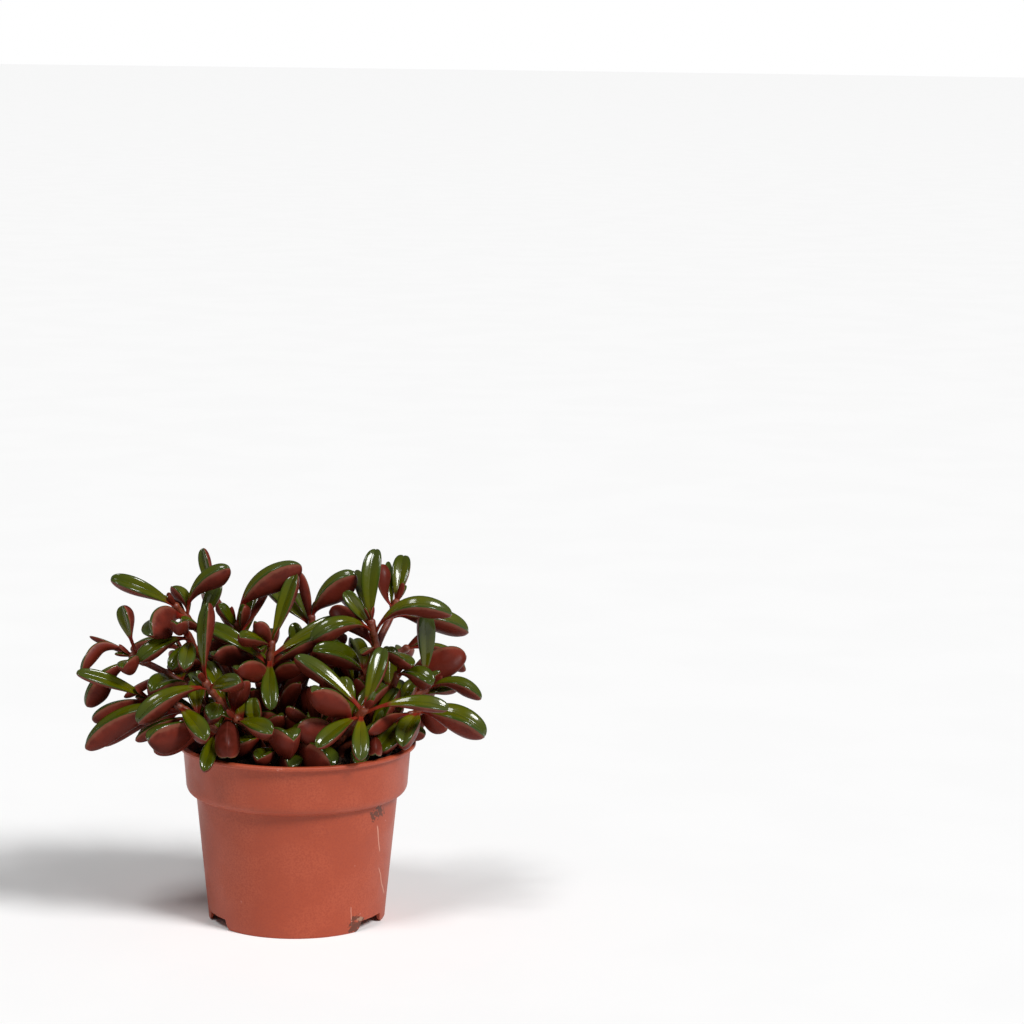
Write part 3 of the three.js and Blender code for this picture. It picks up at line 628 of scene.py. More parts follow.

# %% [markdown]
# ## The table of shoots
#
# A plant has no drawing, so its plan is a table. Every shoot has a stem's middle line, from the soil or
# from a place on the shoot that it grew from, and its leaves. A leaf row holds: the number of the
# measured leaf that it stands for, or 0; how far along the shoot it sits; where its tip is; which way
# its green face looks; its arch as a share of its length; its width; and its form. A few rows end with
# what is special about that leaf: its depth, twist, sway, share of stalk, tone or redness. On a few
# leaves deep in the crown the tone is set high, which paints shade on their faces.

# %% Shoots and leaves
SHOOTS = [
    {"name": "far_left", "stem": "left",
     "route": [(-24, 2, 83), (-42, -1, 106), (-62, -5, 124), (-82, -10, 136)],
     "leaves": [
         (1, 0.97, (-88.5, -4, 159.5), (-1, -0.9, 0.2), 0.03, 8.5, "long", {"stalk": 0.35}),
         (0, 0.92, (-103, 2, 144), (0, 0.3, 1), 0.04, 5, "young"),
         (2, 1, (-107, -20, 131), (-0.5, 0.6, 1), 0.38, 8, "long", {"deep": 0.85}),
         (0, 0.94, (-86, -34, 137.5), (-0.5, 0, 1), 0.06, 9, "long"),
         (3, 0.95, (-106, -18, 113), (0, 0.1, 1), 0.2, 9.5, "long", {"deep": 1.25}),
         (0, 0.76, (-86, -14, 117), (0, 0.6, 1), 0.05, 6, "young"),
         (0, 0.6, (-71, -34, 126.5), (0, -0.3, 1), 0.12, 12, "plump", {"deep": 1.1}),
     ]},
    {"name": "low_left", "stem": "left", "from": "far_left", "start": 0.3,
     "route": [(-52, -12, 107), (-63, -17, 112), (-73, -22, 117)],
     "leaves": [
         (1, 1, (-107, -32, 133), (0, -1, 0.8), 0.05, 7.5, "long", {"deep": 0.8}),
         (2, 0.95, (-102, -22, 108), (-0.3, 0.2, 1), 0.12, 9, "long"),
     ]},
    {"name": "upper_left", "stem": "upper_left",
     "route": [(-14, 10, 83), (-30, 12, 112), (-44, 10, 138), (-61, 2, 159)],
     "leaves": [
         (1, 1, (-92, -6, 175.5), (0.1, -1, 0.9), 0.12, 8.5, "long"),
         (0, 0.9, (-65, 15, 163), (0, 0.8, 1), 0.1, 6, "young"),
         (0, 0.9, (-62.5, 8, 168.5), (0.3, -0.3, 1), 0.25, 8, "long"),
         (2, 0.92, (-35, -2, 181), (-0.5, -0.4, 1), 0.18, 9.5, "long", {"deep": 1.25, "stalk": 0.16}),
         (0, 0.82, (-40, 9, 170), (-0.3, -1, 0.3), 0.05, 8, "long"),
         (3, 0.92, (-74.5, -24, 151.5), (-0.4, 0.9, 0.8), 0.2, 13, "plump", {"deep": 1.15}),
         (0, 0.76, (-57, -3, 154), (0, -0.4, 1), 0.12, 7, "long"),
     ]},
    {"name": "inner_left", "stem": "upper_left", "from": "upper_left", "start": 0.35,
     "route": [(-42, 2, 126), (-50, -6, 137), (-55, -12, 148)],
     "leaves": [
         (1, 0.95, (-79, -22, 137), (0, -0.5, 1), 0.16, 9.5, "long"),
         (0, 0.88, (-62, -26, 134), (-0.3, -1, 0.6), 0.1, 8, "long"),
         (2, 0.92, (-55, -36, 137), (0, -1, 0.8), 0.08, 9, "long"),
         (0, 0.97, (-59, -28, 157.5), (0, 1, 0.8), 0.1, 9, "long"),
     ]},
    {"name": "mid_left", "stem": "mid_left",
     "route": [(-8, 8, 83), (-16, 10, 112), (-25, 10, 134), (-31, 6, 149)],
     "leaves": [
         (1, 1, (1, 4, 182), (-0.6, -0.3, 1), 0.2, 11, "plump", {"deep": 1.25, "stalk": 0.22}),
         (2, 0.97, (-38, -2, 160.5), (1, -0.8, 0.3), 0.05, 6.5, "long"),
         (0, 0.92, (-28, -3, 160), (-1, -0.5, 0.3), 0.05, 6.5, "long"),
         (0, 0.84, (-18, -18, 142), (0.2, -0.2, 1), 0.12, 7, "long"),
         (0, 0.86, (-21, 24, 164), (0, -1, 0.3), 0.03, 7.5, "long"),
         # Tone set high: painted shade on this leaf's face.
         (0, 0.62, (-42, -20, 141), (0, 0.9, 0.6), 0.1, 11, "plump", {"deep": 0.9, "tone": 0.9}),
         (0, 0.92, (-14, 17, 164), (1, 0.3, 0.2), 0.03, 5, "young"),
     ]},
    {"name": "back_left", "stem": "mid_left", "from": "mid_left", "start": 0.55,
     "route": [(-29, 16, 140), (-37, 18, 150), (-42, 16, 162)],
     "leaves": [
         (1, 0.97, (-49, 24, 184), (-0.6, -1, 0.2), 0.03, 6.5, "long"),
         (0, 0.9, (-47, 40, 158), (0, 0, 1), 0.1, 8, "long"),
     ]},
    {"name": "front_left", "stem": "front_left",
     "route": [(-16, -14, 83), (-24, -20, 100), (-36, -26, 113), (-45, -32, 127)],
     "leaves": [
         (1, 1, (-45.5, -28, 166), (-1, -1, 0.1), 0.06, 8, "long", {"stalk": 0.16}),
         (2, 0.96, (-79, -46, 112), (0, -0.4, 1), 0.16, 10, "long", {"deep": 1.2}),
         (3, 0.95, (-29.5, -52, 133), (-0.1, -1, 0.6), 0.06, 9, "long"),
         (0, 0.9, (-53, -30, 131), (0, -1, 0.5), 0.1, 4, "young"),
         # Tone set high: painted shade on this leaf's face.
         (0, 0.6, (-26.3, -30, 129.1), (0.2, 1, 0.3), 0.12, 10.5, "plump", {"deep": 0.95, "tone": 0.9}),
         (0, 0.62, (-34, -52, 93), (0, 0.25, -1), 0.05, 13, "young", {"deep": 1.25, "twist": 0}),
         # Tone set high: painted shade on this leaf's face.
         (0, 0.78, (-41.7, -42, 113.1), (0, -1, 0.5), 0.08, 9.5, "long", {"tone": 1}),
     ]},
    {"name": "rim_left", "stem": "front_left", "from": "front_left", "start": 0.2,
     "route": [(-32, -25, 96), (-46, -30, 107), (-59, -33, 116)],
     "leaves": [
         (1, 0.97, (-106, -28, 95), (0, -0.2, 1), 0.16, 10.5, "plump", {"deep": 1.15}),
         (0, 0.9, (-97, -16, 93.5), (0, 0.9, 0.7), 0.12, 9, "long"),
         (2, 0.97, (-44.5, -60, 107), (-0.2, -0.6, 1), 0.06, 10, "long"),
         (3, 0.66, (-73, -50, 106.5), (0, 0.3, 1), 0.06, 13.5, "plump", {"deep": 1.1}),
         (0, 0.5, (-72, -32, 94), (0, 0, 1), 0.2, 11, "plump", {"deep": 1.1}),
         (0, 0.8, (-80, -30, 99), (0, 0, 1), 0.1, 6.5, "long"),
         (4, 0.5, (-45.1, -54, 89.5), (0.1, -1, 0.4), 0.08, 8, "long"),
         (0, 0.45, (-41, -23, 112), (0, -1, 0.3), 0.03, 7, "long"),
     ]},
    {"name": "front_low", "stem": "front_low",
     "route": [(-4, -22, 83), (-10, -27, 93), (-18, -32, 102), (-30, -37, 110)],
     "leaves": [
         (1, 1, (-13.5, -58, 109.5), (-0.1, -0.5, 1), 0.06, 10, "long"),
         (2, 0.5, (-2, -50, 107), (-0.1, 0.55, 1), 0.1, 14.5, "plump", {"deep": 1.15}),
         (0, 0.3, (-19, -50, 95), (0, 0, 1), 0.06, 9, "long"),
         (0, 0.2, (-2, -49, 90.5), (0, 1, 0.5), 0.12, 12, "plump", {"deep": 1.05}),
     ]},
    {"name": "front_middle", "stem": "front_low", "from": "front_low", "start": 0.2,
     "route": [(2, -26, 91), (8, -29, 96), (12, -30, 102)],
     "leaves": [
         (0, 0.15, (19, -50, 93), (0, 0.5, 1), 0.15, 14.5, "plump", {"deep": 1.15}),
         (0, 0.97, (-4, -34, 116), (0, 0, 1), 0.06, 7, "long"),
         (0, 0.9, (8, -26, 124), (0, 0.6, 1), 0.06, 8, "long"),
     ]},
    {"name": "middle", "stem": "middle",
     "route": [(-4, -4, 83), (-9, -6, 105), (-14, -6, 127), (-13, -8, 142)],
     "leaves": [
         (1, 1, (-2, 0, 176), (-0.5, -1, 0.3), 0.05, 8.5, "long"),
         (0, 0.98, (-27, -30, 151), (-0.1, -0.8, 1), 0.06, 8, "long"),
         (0, 0.97, (-20, -15, 155), (0.2, 0.2, 1), 0.12, 7.5, "long"),
         (2, 0.86, (-13, -32, 115), (0, -1, 0.9), 0.06, 9, "long"),
         (0, 0.35, (-24.4, 4, 107.9), (0, 1, 0.5), 0.08, 12, "plump", {"deep": 1.1}),
         (3, 0.82, (-46, -4, 151), (0.3, -1, 0.8), 0.08, 9, "long"),
         # Tone set high: painted shade on this leaf's face.
         (0, 0.66, (-30, -30, 136), (0, 0.9, 0.5), 0.1, 11, "plump", {"deep": 0.9, "tone": 0.9}),
         (0, 0.89, (20, 8, 152), (-0.5, -1, 0.5), 0.05, 8, "long"),
     ]},
    {"name": "top_middle", "stem": "middle", "from": "middle", "start": 0.3,
     "route": [(2, 6, 116), (8, 13, 134), (7, 14, 151)],
     "leaves": [
         (0, 0.95, (2, 14, 174), (1, 0.6, 0.3), 0.05, 6, "young"),
         (1, 1, (28, 10, 176), (-0.6, -0.1, 1), 0.16, 10.5, "plump", {"deep": 1.3}),
         (2, 0.93, (-16, 26, 167), (0.3, -1, 0.6), 0.05, 8, "long"),
         (0, 0.88, (-1, 38, 160), (0, 0.3, 1), 0.1, 9, "long"),
         (0, 0.6, (-2, 6, 149), (-0.5, -0.6, 1), 0.1, 8, "long"),
     ]},
    {"name": "upper_right", "stem": "upper_right",
     "route": [(10, 2, 83), (26, 2, 112), (39, 0, 136), (37, -4, 152)],
     "leaves": [
         (1, 1, (39, 10, 187), (-0.1, -1, 0.2), 0.05, 10, "long", {"sway": -0.045, "stalk": 0.08}),
         (2, 0.97, (24, -2, 167), (-0.6, -0.6, 1), 0.06, 7.5, "long"),
         (3, 0.95, (6, -18, 147), (0, -0.6, 1), 0.25, 10, "long", {"deep": 1.15}),
         (4, 0.93, (77.5, -12, 159), (0, -0.5, 1), 0.3, 10, "long"),
         (0, 0.93, (21.5, 30, 163), (0.3, -1, 0.6), 0.08, 7, "long"),
         (0, 0.82, (17, 10, 156.5), (0, 1, 0.6), 0.12, 10, "long"),
         (0, 0.82, (32, -16, 139), (0, 0.3, 1), 0.06, 5, "young"),
         (0, 0.62, (9.3, -24, 143.5), (0, -1, 1), 0.15, 11, "plump", {"deep": 1.15}),
         (0, 0.92, (29, 30, 173), (0, -0.5, 1), 0.1, 7, "long"),
     ]},
    {"name": "top_right", "stem": "upper_right", "from": "upper_right", "start": 0.7,
     "route": [(42, 4, 143), (46, 9, 150), (50, 12, 159)],
     "leaves": [
         (1, 1, (54, 28, 181), (-0.3, -1, 0.2), 0.04, 9.5, "long"),
         (0, 0.9, (42, 20, 177), (-0.6, 0.5, 1), 0.14, 8, "long"),
         (0, 0.85, (46, 28, 177), (0, -1, 0.3), 0.04, 5, "young"),
         (2, 0.8, (88, 15, 145), (0.1, -0.4, 1), 0.13, 11.5, "plump"),
         (0, 0.15, (56.7, -26, 136.2), (0.7, -0.9, 0.5), 0.08, 9.5, "long", {"deep": 0.8}),
     ]},
    {"name": "right", "stem": "right",
     "route": [(20, 2, 83), (36, -2, 100), (52, -4, 111), (65, -2, 117)],
     "leaves": [
         (1, 0.97, (64.5, -3, 157), (0.2, -1, 0.1), 0.03, 9.5, "long", {"stalk": 0.22}),
         (2, 0.8, (85, 10, 135), (-0.1, 1, 0.6), 0.2, 13.5, "plump", {"deep": 1.2}),
         (0, 0.93, (82, 1, 120.5), (0, -1, 1), 0.08, 9, "long"),
         (3, 1, (93, -10, 115), (0, -0.4, 1), 0.28, 8.5, "long", {"deep": 0.95}),
         (0, 0.9, (71, -6, 127), (-1, -0.3, 0.5), 0.1, 5, "young", {"tone": 0.1, "red": 1}),
     ]},
    {"name": "right_inner", "stem": "right", "from": "right", "start": 0.3,
     "route": [(40, -6, 106), (46, -9, 116), (50, -13, 127)],
     "leaves": [
         (1, 1, (67, -29, 127), (0, -0.5, 1), 0.2, 10, "long", {"deep": 1.15}),
     ]},
    {"name": "low_right", "stem": "low_right",
     "route": [(22, -8, 83), (34, -12, 94), (47, -14, 102), (61, -16, 109)],
     "leaves": [
         (1, 1, (95, -26, 100), (0, -0.45, 1), 0.18, 12.5, "plump", {"deep": 1.1}),
         (0, 0.99, (51.6, -40, 99), (-0.4, -1, 0.5), 0.08, 11, "plump"),
         (0, 0.8, (40, -36, 95), (0, -1, 0.8), 0.05, 12, "plump"),
         (0, 0.9, (34, -42, 106), (0, 0.9, 0.8), 0.08, 8, "long"),
     ]},
    {"name": "rim_right", "stem": "low_right", "from": "low_right", "start": 0.25,
     "route": [(33, -19, 91), (38, -27, 103)],
     "leaves": [
         (0, 0.97, (38, -47, 93), (0, 0.5, -1), 0.08, 7.5, "long"),
         (0, 0.35, (30, -47, 90.5), (0.1, 0.4, 1), 0.12, 10, "long"),
     ]},
    {"name": "front_right", "stem": "front_right",
     "route": [(12, -20, 83), (20, -28, 96), (28, -34, 107), (33, -38, 115)],
     "leaves": [
         (1, 1, (42, -22, 143), (-0.5, -1, 0.2), 0.04, 9.5, "long"),
         (2, 0.97, (0, -30, 141), (0.3, -0.6, 1), 0.06, 10, "long"),
         (3, 0.95, (74, -42, 117), (0, -0.5, 1), 0.12, 9, "long", {"deep": 0.75, "stalk": 0.24}),
         (4, 0.92, (31, -60, 96), (0, -1, 0.8), 0.08, 9, "long"),
         (0, 0.88, (10, -62, 103), (-0.2, -0.7, 1), 0.08, 9, "long"),
         (0, 0.75, (8.5, -50, 129.5), (0.3, 0.5, 1), 0.12, 12, "plump", {"deep": 1.05}),
         (0, 0.5, (-2, -42, 108), (0, 0.5, 1), 0.15, 12.5, "plump", {"deep": 1.1}),
     ]},
    {"name": "back_middle", "stem": "back_middle",
     "route": [(-2, 20, 83), (-5, 25, 100), (-8, 29, 114), (-12, 32, 126)],
     "leaves": [
         (1, 1, (-20, 60, 127), (0, 0.3, 1), 0.2, 10, "long"),
         (0, 0.93, (-44, 54, 132), (0, 0, 1), 0.15, 9, "long"),
         (0, 0.88, (12, 56, 126), (0, 0, 1), 0.15, 9, "long"),
     ]},
    {"name": "back_side_left", "stem": "back_left",
     "route": [(-18, 20, 83), (-32, 30, 104), (-46, 36, 118), (-58, 38, 128)],
     "leaves": [
         (1, 1, (-86, 42, 130), (0, 0, 1), 0.2, 10, "long"),
         (0, 0.92, (-64, 58, 122), (0, 0, 1), 0.15, 10, "long"),
     ]},
    {"name": "back_side_right", "stem": "back_right",
     "route": [(20, 18, 83), (32, 30, 106), (44, 36, 122), (56, 38, 130)],
     "leaves": [
         (1, 1, (88, 44, 118), (0, 0, 1), 0.2, 10, "long"),
         (0, 0.92, (58, 58, 124), (0, 0, 1), 0.15, 10, "long"),
     ]},
]
print("shoots:", len(SHOOTS), "leaves:", sum(len(shoot["leaves"]) for shoot in SHOOTS))

# %% [markdown]
# ## Stems
#
# The stems are about four millimetres thick, fleshy, and bend where they follow the light. A Bezier
# curve is made for this: each point gets two handles, and the line passes smoothly through uneven
# points when the handles follow the square roots of the distances. The same line tells where each leaf
# leaves the stem.

# %% Middle lines of the stems
STEM_RADIUS = 2.2
STEM_GAP, STEM_RISE = 0.35, 4


def with_handles(points):
    """Each point with its left and right handle."""
    ends = [2 * points[0] - points[1], *points, 2 * points[-1] - points[-2]]
    knots = []
    for before, here, after in zip(ends, ends[1:], ends[2:]):
        near, far = (here - before).length ** 0.5, (after - here).length ** 0.5
        slope = (here - before) / near - (after - before) / (near + far) + (after - here) / far
        knots.append((here, here - slope * near / 3, here + slope * far / 3))
    return knots


def walk(knots, steps=40):
    """Closely spaced places along the line through the knots."""
    line = [knots[0][0]]
    for (here, _, leaving), (there, arriving, _) in zip(knots, knots[1:]):
        line += geometry.interpolate_bezier(here, leaving, arriving, there, steps)[1:]
    return line


def length_of(line):
    return sum((there - here).length for here, there in zip(line, line[1:]))


def place_on(line, share):
    """The place at a share of the line's length, and the line's direction there."""
    lengths = [0.0]
    for here, there in zip(line, line[1:]):
        lengths.append(lengths[-1] + (there - here).length)
    wanted = share * lengths[-1]
    step = min(max(n for n, so_far in enumerate(lengths) if so_far <= wanted + 1e-9), len(line) - 2)
    rest = (wanted - lengths[step]) / (lengths[step + 1] - lengths[step])
    return line[step].lerp(line[step + 1], rest), (line[step + 1] - line[step]).normalized()


knots_of, line_of = {}, {}
for shoot in SHOOTS:
    points = [Vector(place) for place in shoot["route"]]
    if "from" in shoot:
        points.insert(0, place_on(line_of[shoot["from"]], shoot["start"])[0])
    else:
        foot = points.pop(0)
        points = [Vector((foot.x, foot.y, SOIL_HEIGHT + rise)) for rise in (STEM_GAP, STEM_RISE)] + points
    knots_of[shoot["name"]] = with_handles(points)
    line_of[shoot["name"]] = walk(knots_of[shoot["name"]])
print("longest shoot:", round(max(length_of(line) for line in line_of.values())), "mm")

# %% [markdown]
# A stem with its branches is one grown piece. The tubes of its shoots and a small ball at each leaf's
# joint are put together, a voxel remesh melts them into one closed skin, and a smooth modifier takes
# off the steps that the voxels leave. The balls become the slightly swollen joints of a real stem.

# %% Tubes and joints
STEM_FOOT_DEPTH = 3
STEM_FOOT_SHARE, STEM_TAPER = 1.06, 0.22


def shoot_tube(shoot):
    """A tube along one shoot, thinner towards its tip, going a little way into the soil."""
    curve = bpy.data.curves.new(shoot["name"], "CURVE")
    curve.dimensions, curve.bevel_depth, curve.bevel_resolution = "3D", 1 * MM, 3
    curve.use_fill_caps, curve.resolution_u = True, 10
    spline = curve.splines.new("BEZIER")
    knots = knots_of[shoot["name"]]
    if "from" not in shoot:
        sunk = knots[0][0] - Vector((0, 0, STEM_FOOT_DEPTH))
        knots = [(sunk, sunk - Vector((0, 0, 1)), sunk + Vector((0, 0, 1)))] + knots[1:]
    last = len(knots) - 1
    spline.bezier_points.add(last)
    least_taper = 0.5 if "from" in shoot else 0
    for number, (point, (place, left, right)) in enumerate(zip(spline.bezier_points, knots)):
        point.co, point.handle_left, point.handle_right = metres(place), metres(left), metres(right)
        point.radius = STEM_RADIUS * (STEM_FOOT_SHARE - STEM_TAPER * max(least_taper, number / last))
    tube = bpy.data.objects.new(shoot["name"], curve)
    scene.collection.objects.link(tube)
    return tube


def joint_ball(place, share):
    """A ball on a stem's middle line. share is of the stem's radius."""
    bpy.ops.mesh.primitive_uv_sphere_add(
        segments=16, ring_count=10, radius=STEM_RADIUS * share * MM, location=metres(place)
    )
    return bpy.context.object


# %% Grow the stems
joints = {}
stem_pieces = []
for stem in dict.fromkeys(shoot["stem"] for shoot in SHOOTS):
    parts, joints[stem] = [], []
    for shoot in (s for s in SHOOTS if s["stem"] == stem):
        parts.append(shoot_tube(shoot))
        line = line_of[shoot["name"]]
        for leaf in shoot["leaves"]:
            joints[stem].append(place_on(line, leaf[1])[0])
            parts.append(joint_ball(joints[stem][-1], 1.05))
        parts.append(joint_ball(line[-1], 0.9))
    deselect_all()
    for part in parts:
        part.select_set(True)
    bpy.context.view_layer.objects.active = parts[0]
    bpy.ops.object.convert(target="MESH")
    bpy.ops.object.join()
    piece = bpy.context.object
    bpy.ops.object.transform_apply(location=True, rotation=True, scale=True)
    apply_modifier(piece, "REMESH", mode="VOXEL", voxel_size=0.6 * MM)
    apply_modifier(piece, "SMOOTH", factor=0.5, iterations=7)
    bpy.ops.object.shade_smooth()
    stem_pieces.append(finished(piece, f"{stem}_shoot", "stem_skin", f"stem_{stem}"))
print("stems:", len(stem_pieces), "triangles:", count_triangles(stem_pieces))

# %% [markdown]
# The skin of the stems is waxy, dark brown low down and redder higher up, with a faint paler ring round
# every joint. The nearness of a joint is written on every point of the mesh, so the finish can paint a
# ring there.

# %% Stem skin
SCAR_DISTANCE, SCAR_WIDTH = 2.6, 1.2

for piece, places in zip(stem_pieces, joints.values()):
    joint_places = np.array([metres(place)[:] for place in places])
    points = np.empty(len(piece.data.vertices) * 3)
    piece.data.vertices.foreach_get("co", points)
    gaps = np.linalg.norm(points.reshape(-1, 1, 3) - joint_places[None], axis=2).min(axis=1) / MM
    near_joint = piece.data.attributes.new("near_joint", "FLOAT", "POINT")
    nearness = np.exp(-((gaps - SCAR_DISTANCE) ** 2) / SCAR_WIDTH)
    near_joint.data.foreach_set("value", nearness.astype(np.float32))

stem_finish, tree, shader, object_place = new_finish("waxy_stem_skin")
height = add_node(tree, "ShaderNodeSeparateXYZ", {"Vector": object_place}).outputs["Z"]
ring = add_node(tree, "ShaderNodeAttribute", attribute_name="near_joint").outputs["Fac"]
colour = mix_colours(tree, fade(tree, height, 0.085, 0.15), rgb(58, 24, 16), rgb(98, 32, 20))
colour = mix_colours(tree, use_mottle(tree, object_place, 140, 0.45, 0.62), colour, rgb(112, 46, 22))
colour = mix_colours(tree, use_mottle(tree, object_place, 420, 0.6, 0.72), colour, rgb(142, 82, 48))
colour = mix_colours(tree, times(tree, ring, 0.3), colour, rgb(150, 78, 50))
tree.links.new(colour, shader.inputs["Base Color"])
tree.links.new(fade(tree, use_mottle(tree, object_place, 200), 0, 1, 0.32, 0.5), shader.inputs["Roughness"])
use_grain(tree, shader, object_place, 1600, 350, 0.5, 0.35, 0.5)
for piece in stem_pieces:
    piece.data.materials.append(stem_finish)
print("finish:", stem_finish.name)

# %% [markdown]
# ## The leaf
#
# A leaf of this plant is a thick little boat. The green face is a clear window, two puffy flanks with a
# narrow groove between them and a rounded rim round the outside. The keel below is deep and maroon. At
# the tip the groove runs out between two humps.
#
# The leaf is drawn out ring by ring along Y, from the stalk to the tip, as a plain egg. Each point is
# marked with its place on that egg: across, along, and how far round it is from the face to the keel.
# The finish needs just these three numbers. Then the upper half is pressed in: every column of points
# is squeezed towards the rim's level, the middle one past it.

# %% Draw out a leaf
LEAF_SIDES = 24
LEAF_LENGTH, LEAF_WIDTH = 32.0, 9.0


def draw_leaf(rings):
    """The plain egg. rings holds rows of (share of the length, half the width, depth of the keel, drop)."""
    deselect_all()
    bpy.ops.mesh.primitive_circle_add(vertices=LEAF_SIDES, radius=1 * MM, rotation=(math.pi / 2, 0, 0))
    leaf = bpy.context.object
    bpy.ops.object.transform_apply(rotation=True)
    bpy.ops.object.mode_set(mode="EDIT")
    bpy.ops.mesh.select_mode(type="VERT")
    bpy.ops.mesh.select_all(action="SELECT")
    wide, deep, before = 1.0, 1.0, 0.0
    for number, (along, half, keel, _) in enumerate(rings):
        step = (0, (along - before) * LEAF_LENGTH * MM, 0)
        scale, centre = (half / wide, 1, keel / deep), (0, along * LEAF_LENGTH * MM, 0)
        if number:
            pull_ring(step, scale, centre)
        else:
            bpy.ops.transform.resize(value=scale, center_override=centre)
        wide, deep, before = half, keel, along
    bpy.ops.object.mode_set(mode="OBJECT")
    return leaf


def mark_leaf(leaf, rings):
    """Writes each point's place on the leaf, and returns its ring and its turn in whole degrees.

    The turn is 0 and 180 on the rim, 90 in the groove and 270 under the keel.
    """
    shares, halves, keels, _ = np.array(rings).T
    where = np.array([point.co[:] for point in leaf.data.vertices]) / MM
    ring_of = np.abs(where[:, 1:2] / LEAF_LENGTH - shares[None]).argmin(axis=1)
    across, skin = where[:, 0] / halves[ring_of], where[:, 2] / keels[ring_of]
    leaf_place = leaf.data.attributes.new("leaf_place", "FLOAT_VECTOR", "POINT")
    marks = np.stack([across, shares[ring_of], skin], 1).astype(np.float32)
    leaf_place.data.foreach_set("vector", marks.ravel())
    return ring_of, np.round(np.degrees(np.arctan2(skin, across))) % 360


# %% Press in its face
PRESS = {15: 0.24, 30: 0.19, 45: 0.13, 60: 0.06, 75: -0.03, 90: -0.12}
GROOVE_IN, KEEL_IN = 0.7, 0.82
HUMP_PUSHES = (0.3, 0.8, 1.0)


def press_leaf(leaf, rings, hump, ring_of, turn):
    """Squeezes the face, narrows groove and keel, lowers the tip, and makes its two humps."""
    def move(chosen, operator, **settings):
        select_numbers(leaf, np.flatnonzero(chosen).tolist())
        operator(**settings)

    resize, translate = bpy.ops.transform.resize, bpy.ops.transform.translate
    for column, squeeze in PRESS.items():
        both_sides = (turn == column) | (turn == 180 - column)
        move(both_sides, resize, value=(1, 1, squeeze), center_override=(0, 0, 0))
    beside_groove, under = (turn == 75) | (turn == 105), (turn >= 240) & (turn <= 300)
    move(beside_groove, resize, value=(GROOVE_IN, 1, 1), center_override=(0, 0, 0))
    move(under, resize, value=(KEEL_IN, 1, 1), center_override=(0, 0, 0))
    for number, ring in enumerate(rings):
        move(ring_of == number, translate, value=(0, 0, -ring[3] * MM))
    for number, push in enumerate(HUMP_PUSHES, len(rings) - len(HUMP_PUSHES)):
        middle = (ring_of == number) & (turn > 60) & (turn < 120)
        move(middle, translate, value=(0, -hump * push * MM, -0.5 * hump * push * MM))


def model_leaf(name, rings, hump):
    """Draws, marks, presses and closes a leaf, and makes it smooth."""
    leaf = draw_leaf(rings)
    ring_of, turn = mark_leaf(leaf, rings)
    bpy.ops.object.mode_set(mode="EDIT")
    press_leaf(leaf, rings, hump, ring_of, turn)
    for end in (0, len(rings) - 1):
        select_numbers(leaf, np.flatnonzero(ring_of == end).tolist())
        bpy.ops.mesh.edge_face_add()
        bpy.ops.mesh.poke()
    bpy.ops.mesh.select_all(action="SELECT")
    bpy.ops.mesh.normals_make_consistent(inside=False)
    bpy.ops.object.mode_set(mode="OBJECT")
    apply_modifier(leaf, "SUBSURF", levels=1, render_levels=1)
    bpy.ops.object.shade_smooth()
    leaf.name = name
    leaf.hide_render = True
    print(name, "has", count_triangles([leaf]), "triangles")
    return leaf


# %% [markdown]
# Three forms are enough: the long leaf of the shoots' tips, the plump leaf of the lower shoots, broader
# near its base and deeper, and the young leaf, slender and shallow, with no humps yet.

# %% Three forms of leaf
LONG_LEAF = [
    (0, 1.45, 1.45, 0), (0.03, 1.15, 1.15, 0), (0.07, 1.05, 1.1, 0), (0.12, 1.2, 1.35, 0),
    (0.18, 1.6, 1.95, 0), (0.27, 2.35, 3.2, 0), (0.36, 3.05, 4.5, 0), (0.47, 3.8, 6.1, 0),
    (0.58, 4.3, 7.3, 0), (0.69, 4.5, 7.9, 0), (0.79, 4.35, 7.8, 0.15), (0.87, 3.9, 6.9, 0.35),
    (0.93, 3.2, 5.5, 0.7), (0.97, 2.35, 4.0, 1.15), (0.99, 1.5, 2.6, 1.6), (1.0, 0.7, 1.3, 2.1),
]
PLUMP_LEAF = [
    (0, 1.45, 1.45, 0), (0.03, 1.1, 1.1, 0), (0.07, 1.05, 1.1, 0), (0.12, 1.5, 1.8, 0),
    (0.18, 2.4, 3.2, 0), (0.26, 3.4, 5.0, 0), (0.35, 4.15, 6.5, 0), (0.45, 4.5, 7.6, 0),
    (0.56, 4.5, 8.2, 0), (0.67, 4.35, 8.4, 0), (0.77, 4.05, 8.1, 0.15), (0.86, 3.6, 7.3, 0.4),
    (0.925, 2.95, 5.9, 0.8), (0.965, 2.2, 4.3, 1.3), (0.99, 1.35, 2.7, 1.9), (1.0, 0.6, 1.2, 2.4),
]
YOUNG_LEAF = [
    (0, 1.6, 1.6, 0), (0.04, 1.3, 1.3, 0), (0.09, 1.35, 1.4, 0), (0.15, 1.8, 2.1, 0),
    (0.22, 2.5, 3.0, 0), (0.31, 3.3, 4.1, 0), (0.41, 3.95, 5.0, 0), (0.52, 4.4, 5.6, 0),
    (0.63, 4.5, 5.9, 0), (0.73, 4.35, 5.8, 0), (0.82, 3.9, 5.3, 0.1), (0.89, 3.3, 4.5, 0.3),
    (0.94, 2.6, 3.5, 0.5), (0.975, 1.8, 2.4, 0.8), (0.99, 1.1, 1.6, 1.0), (1.0, 0.5, 0.8, 1.2),
]
FORMS = {
    "long": model_leaf("long_leaf", LONG_LEAF, 0.5),
    "plump": model_leaf("plump_leaf", PLUMP_LEAF, 0.35),
    "young": model_leaf("young_leaf", YOUNG_LEAF, 0.0),
}

# %% [markdown]
# ## Placing the leaves
#
# Every leaf is a copy of one of the forms with a mesh of its own. The copy is stretched to its length
# and width, arched along its length, twisted and swayed a little, and then laid from its joint to its
# tip with its face turned the right way. The foot of the stalk goes a little way into the stem, as it
# grew there.

# %% Grow a leaf
STALK_END, TIP_OVER = 0.1, 0.8


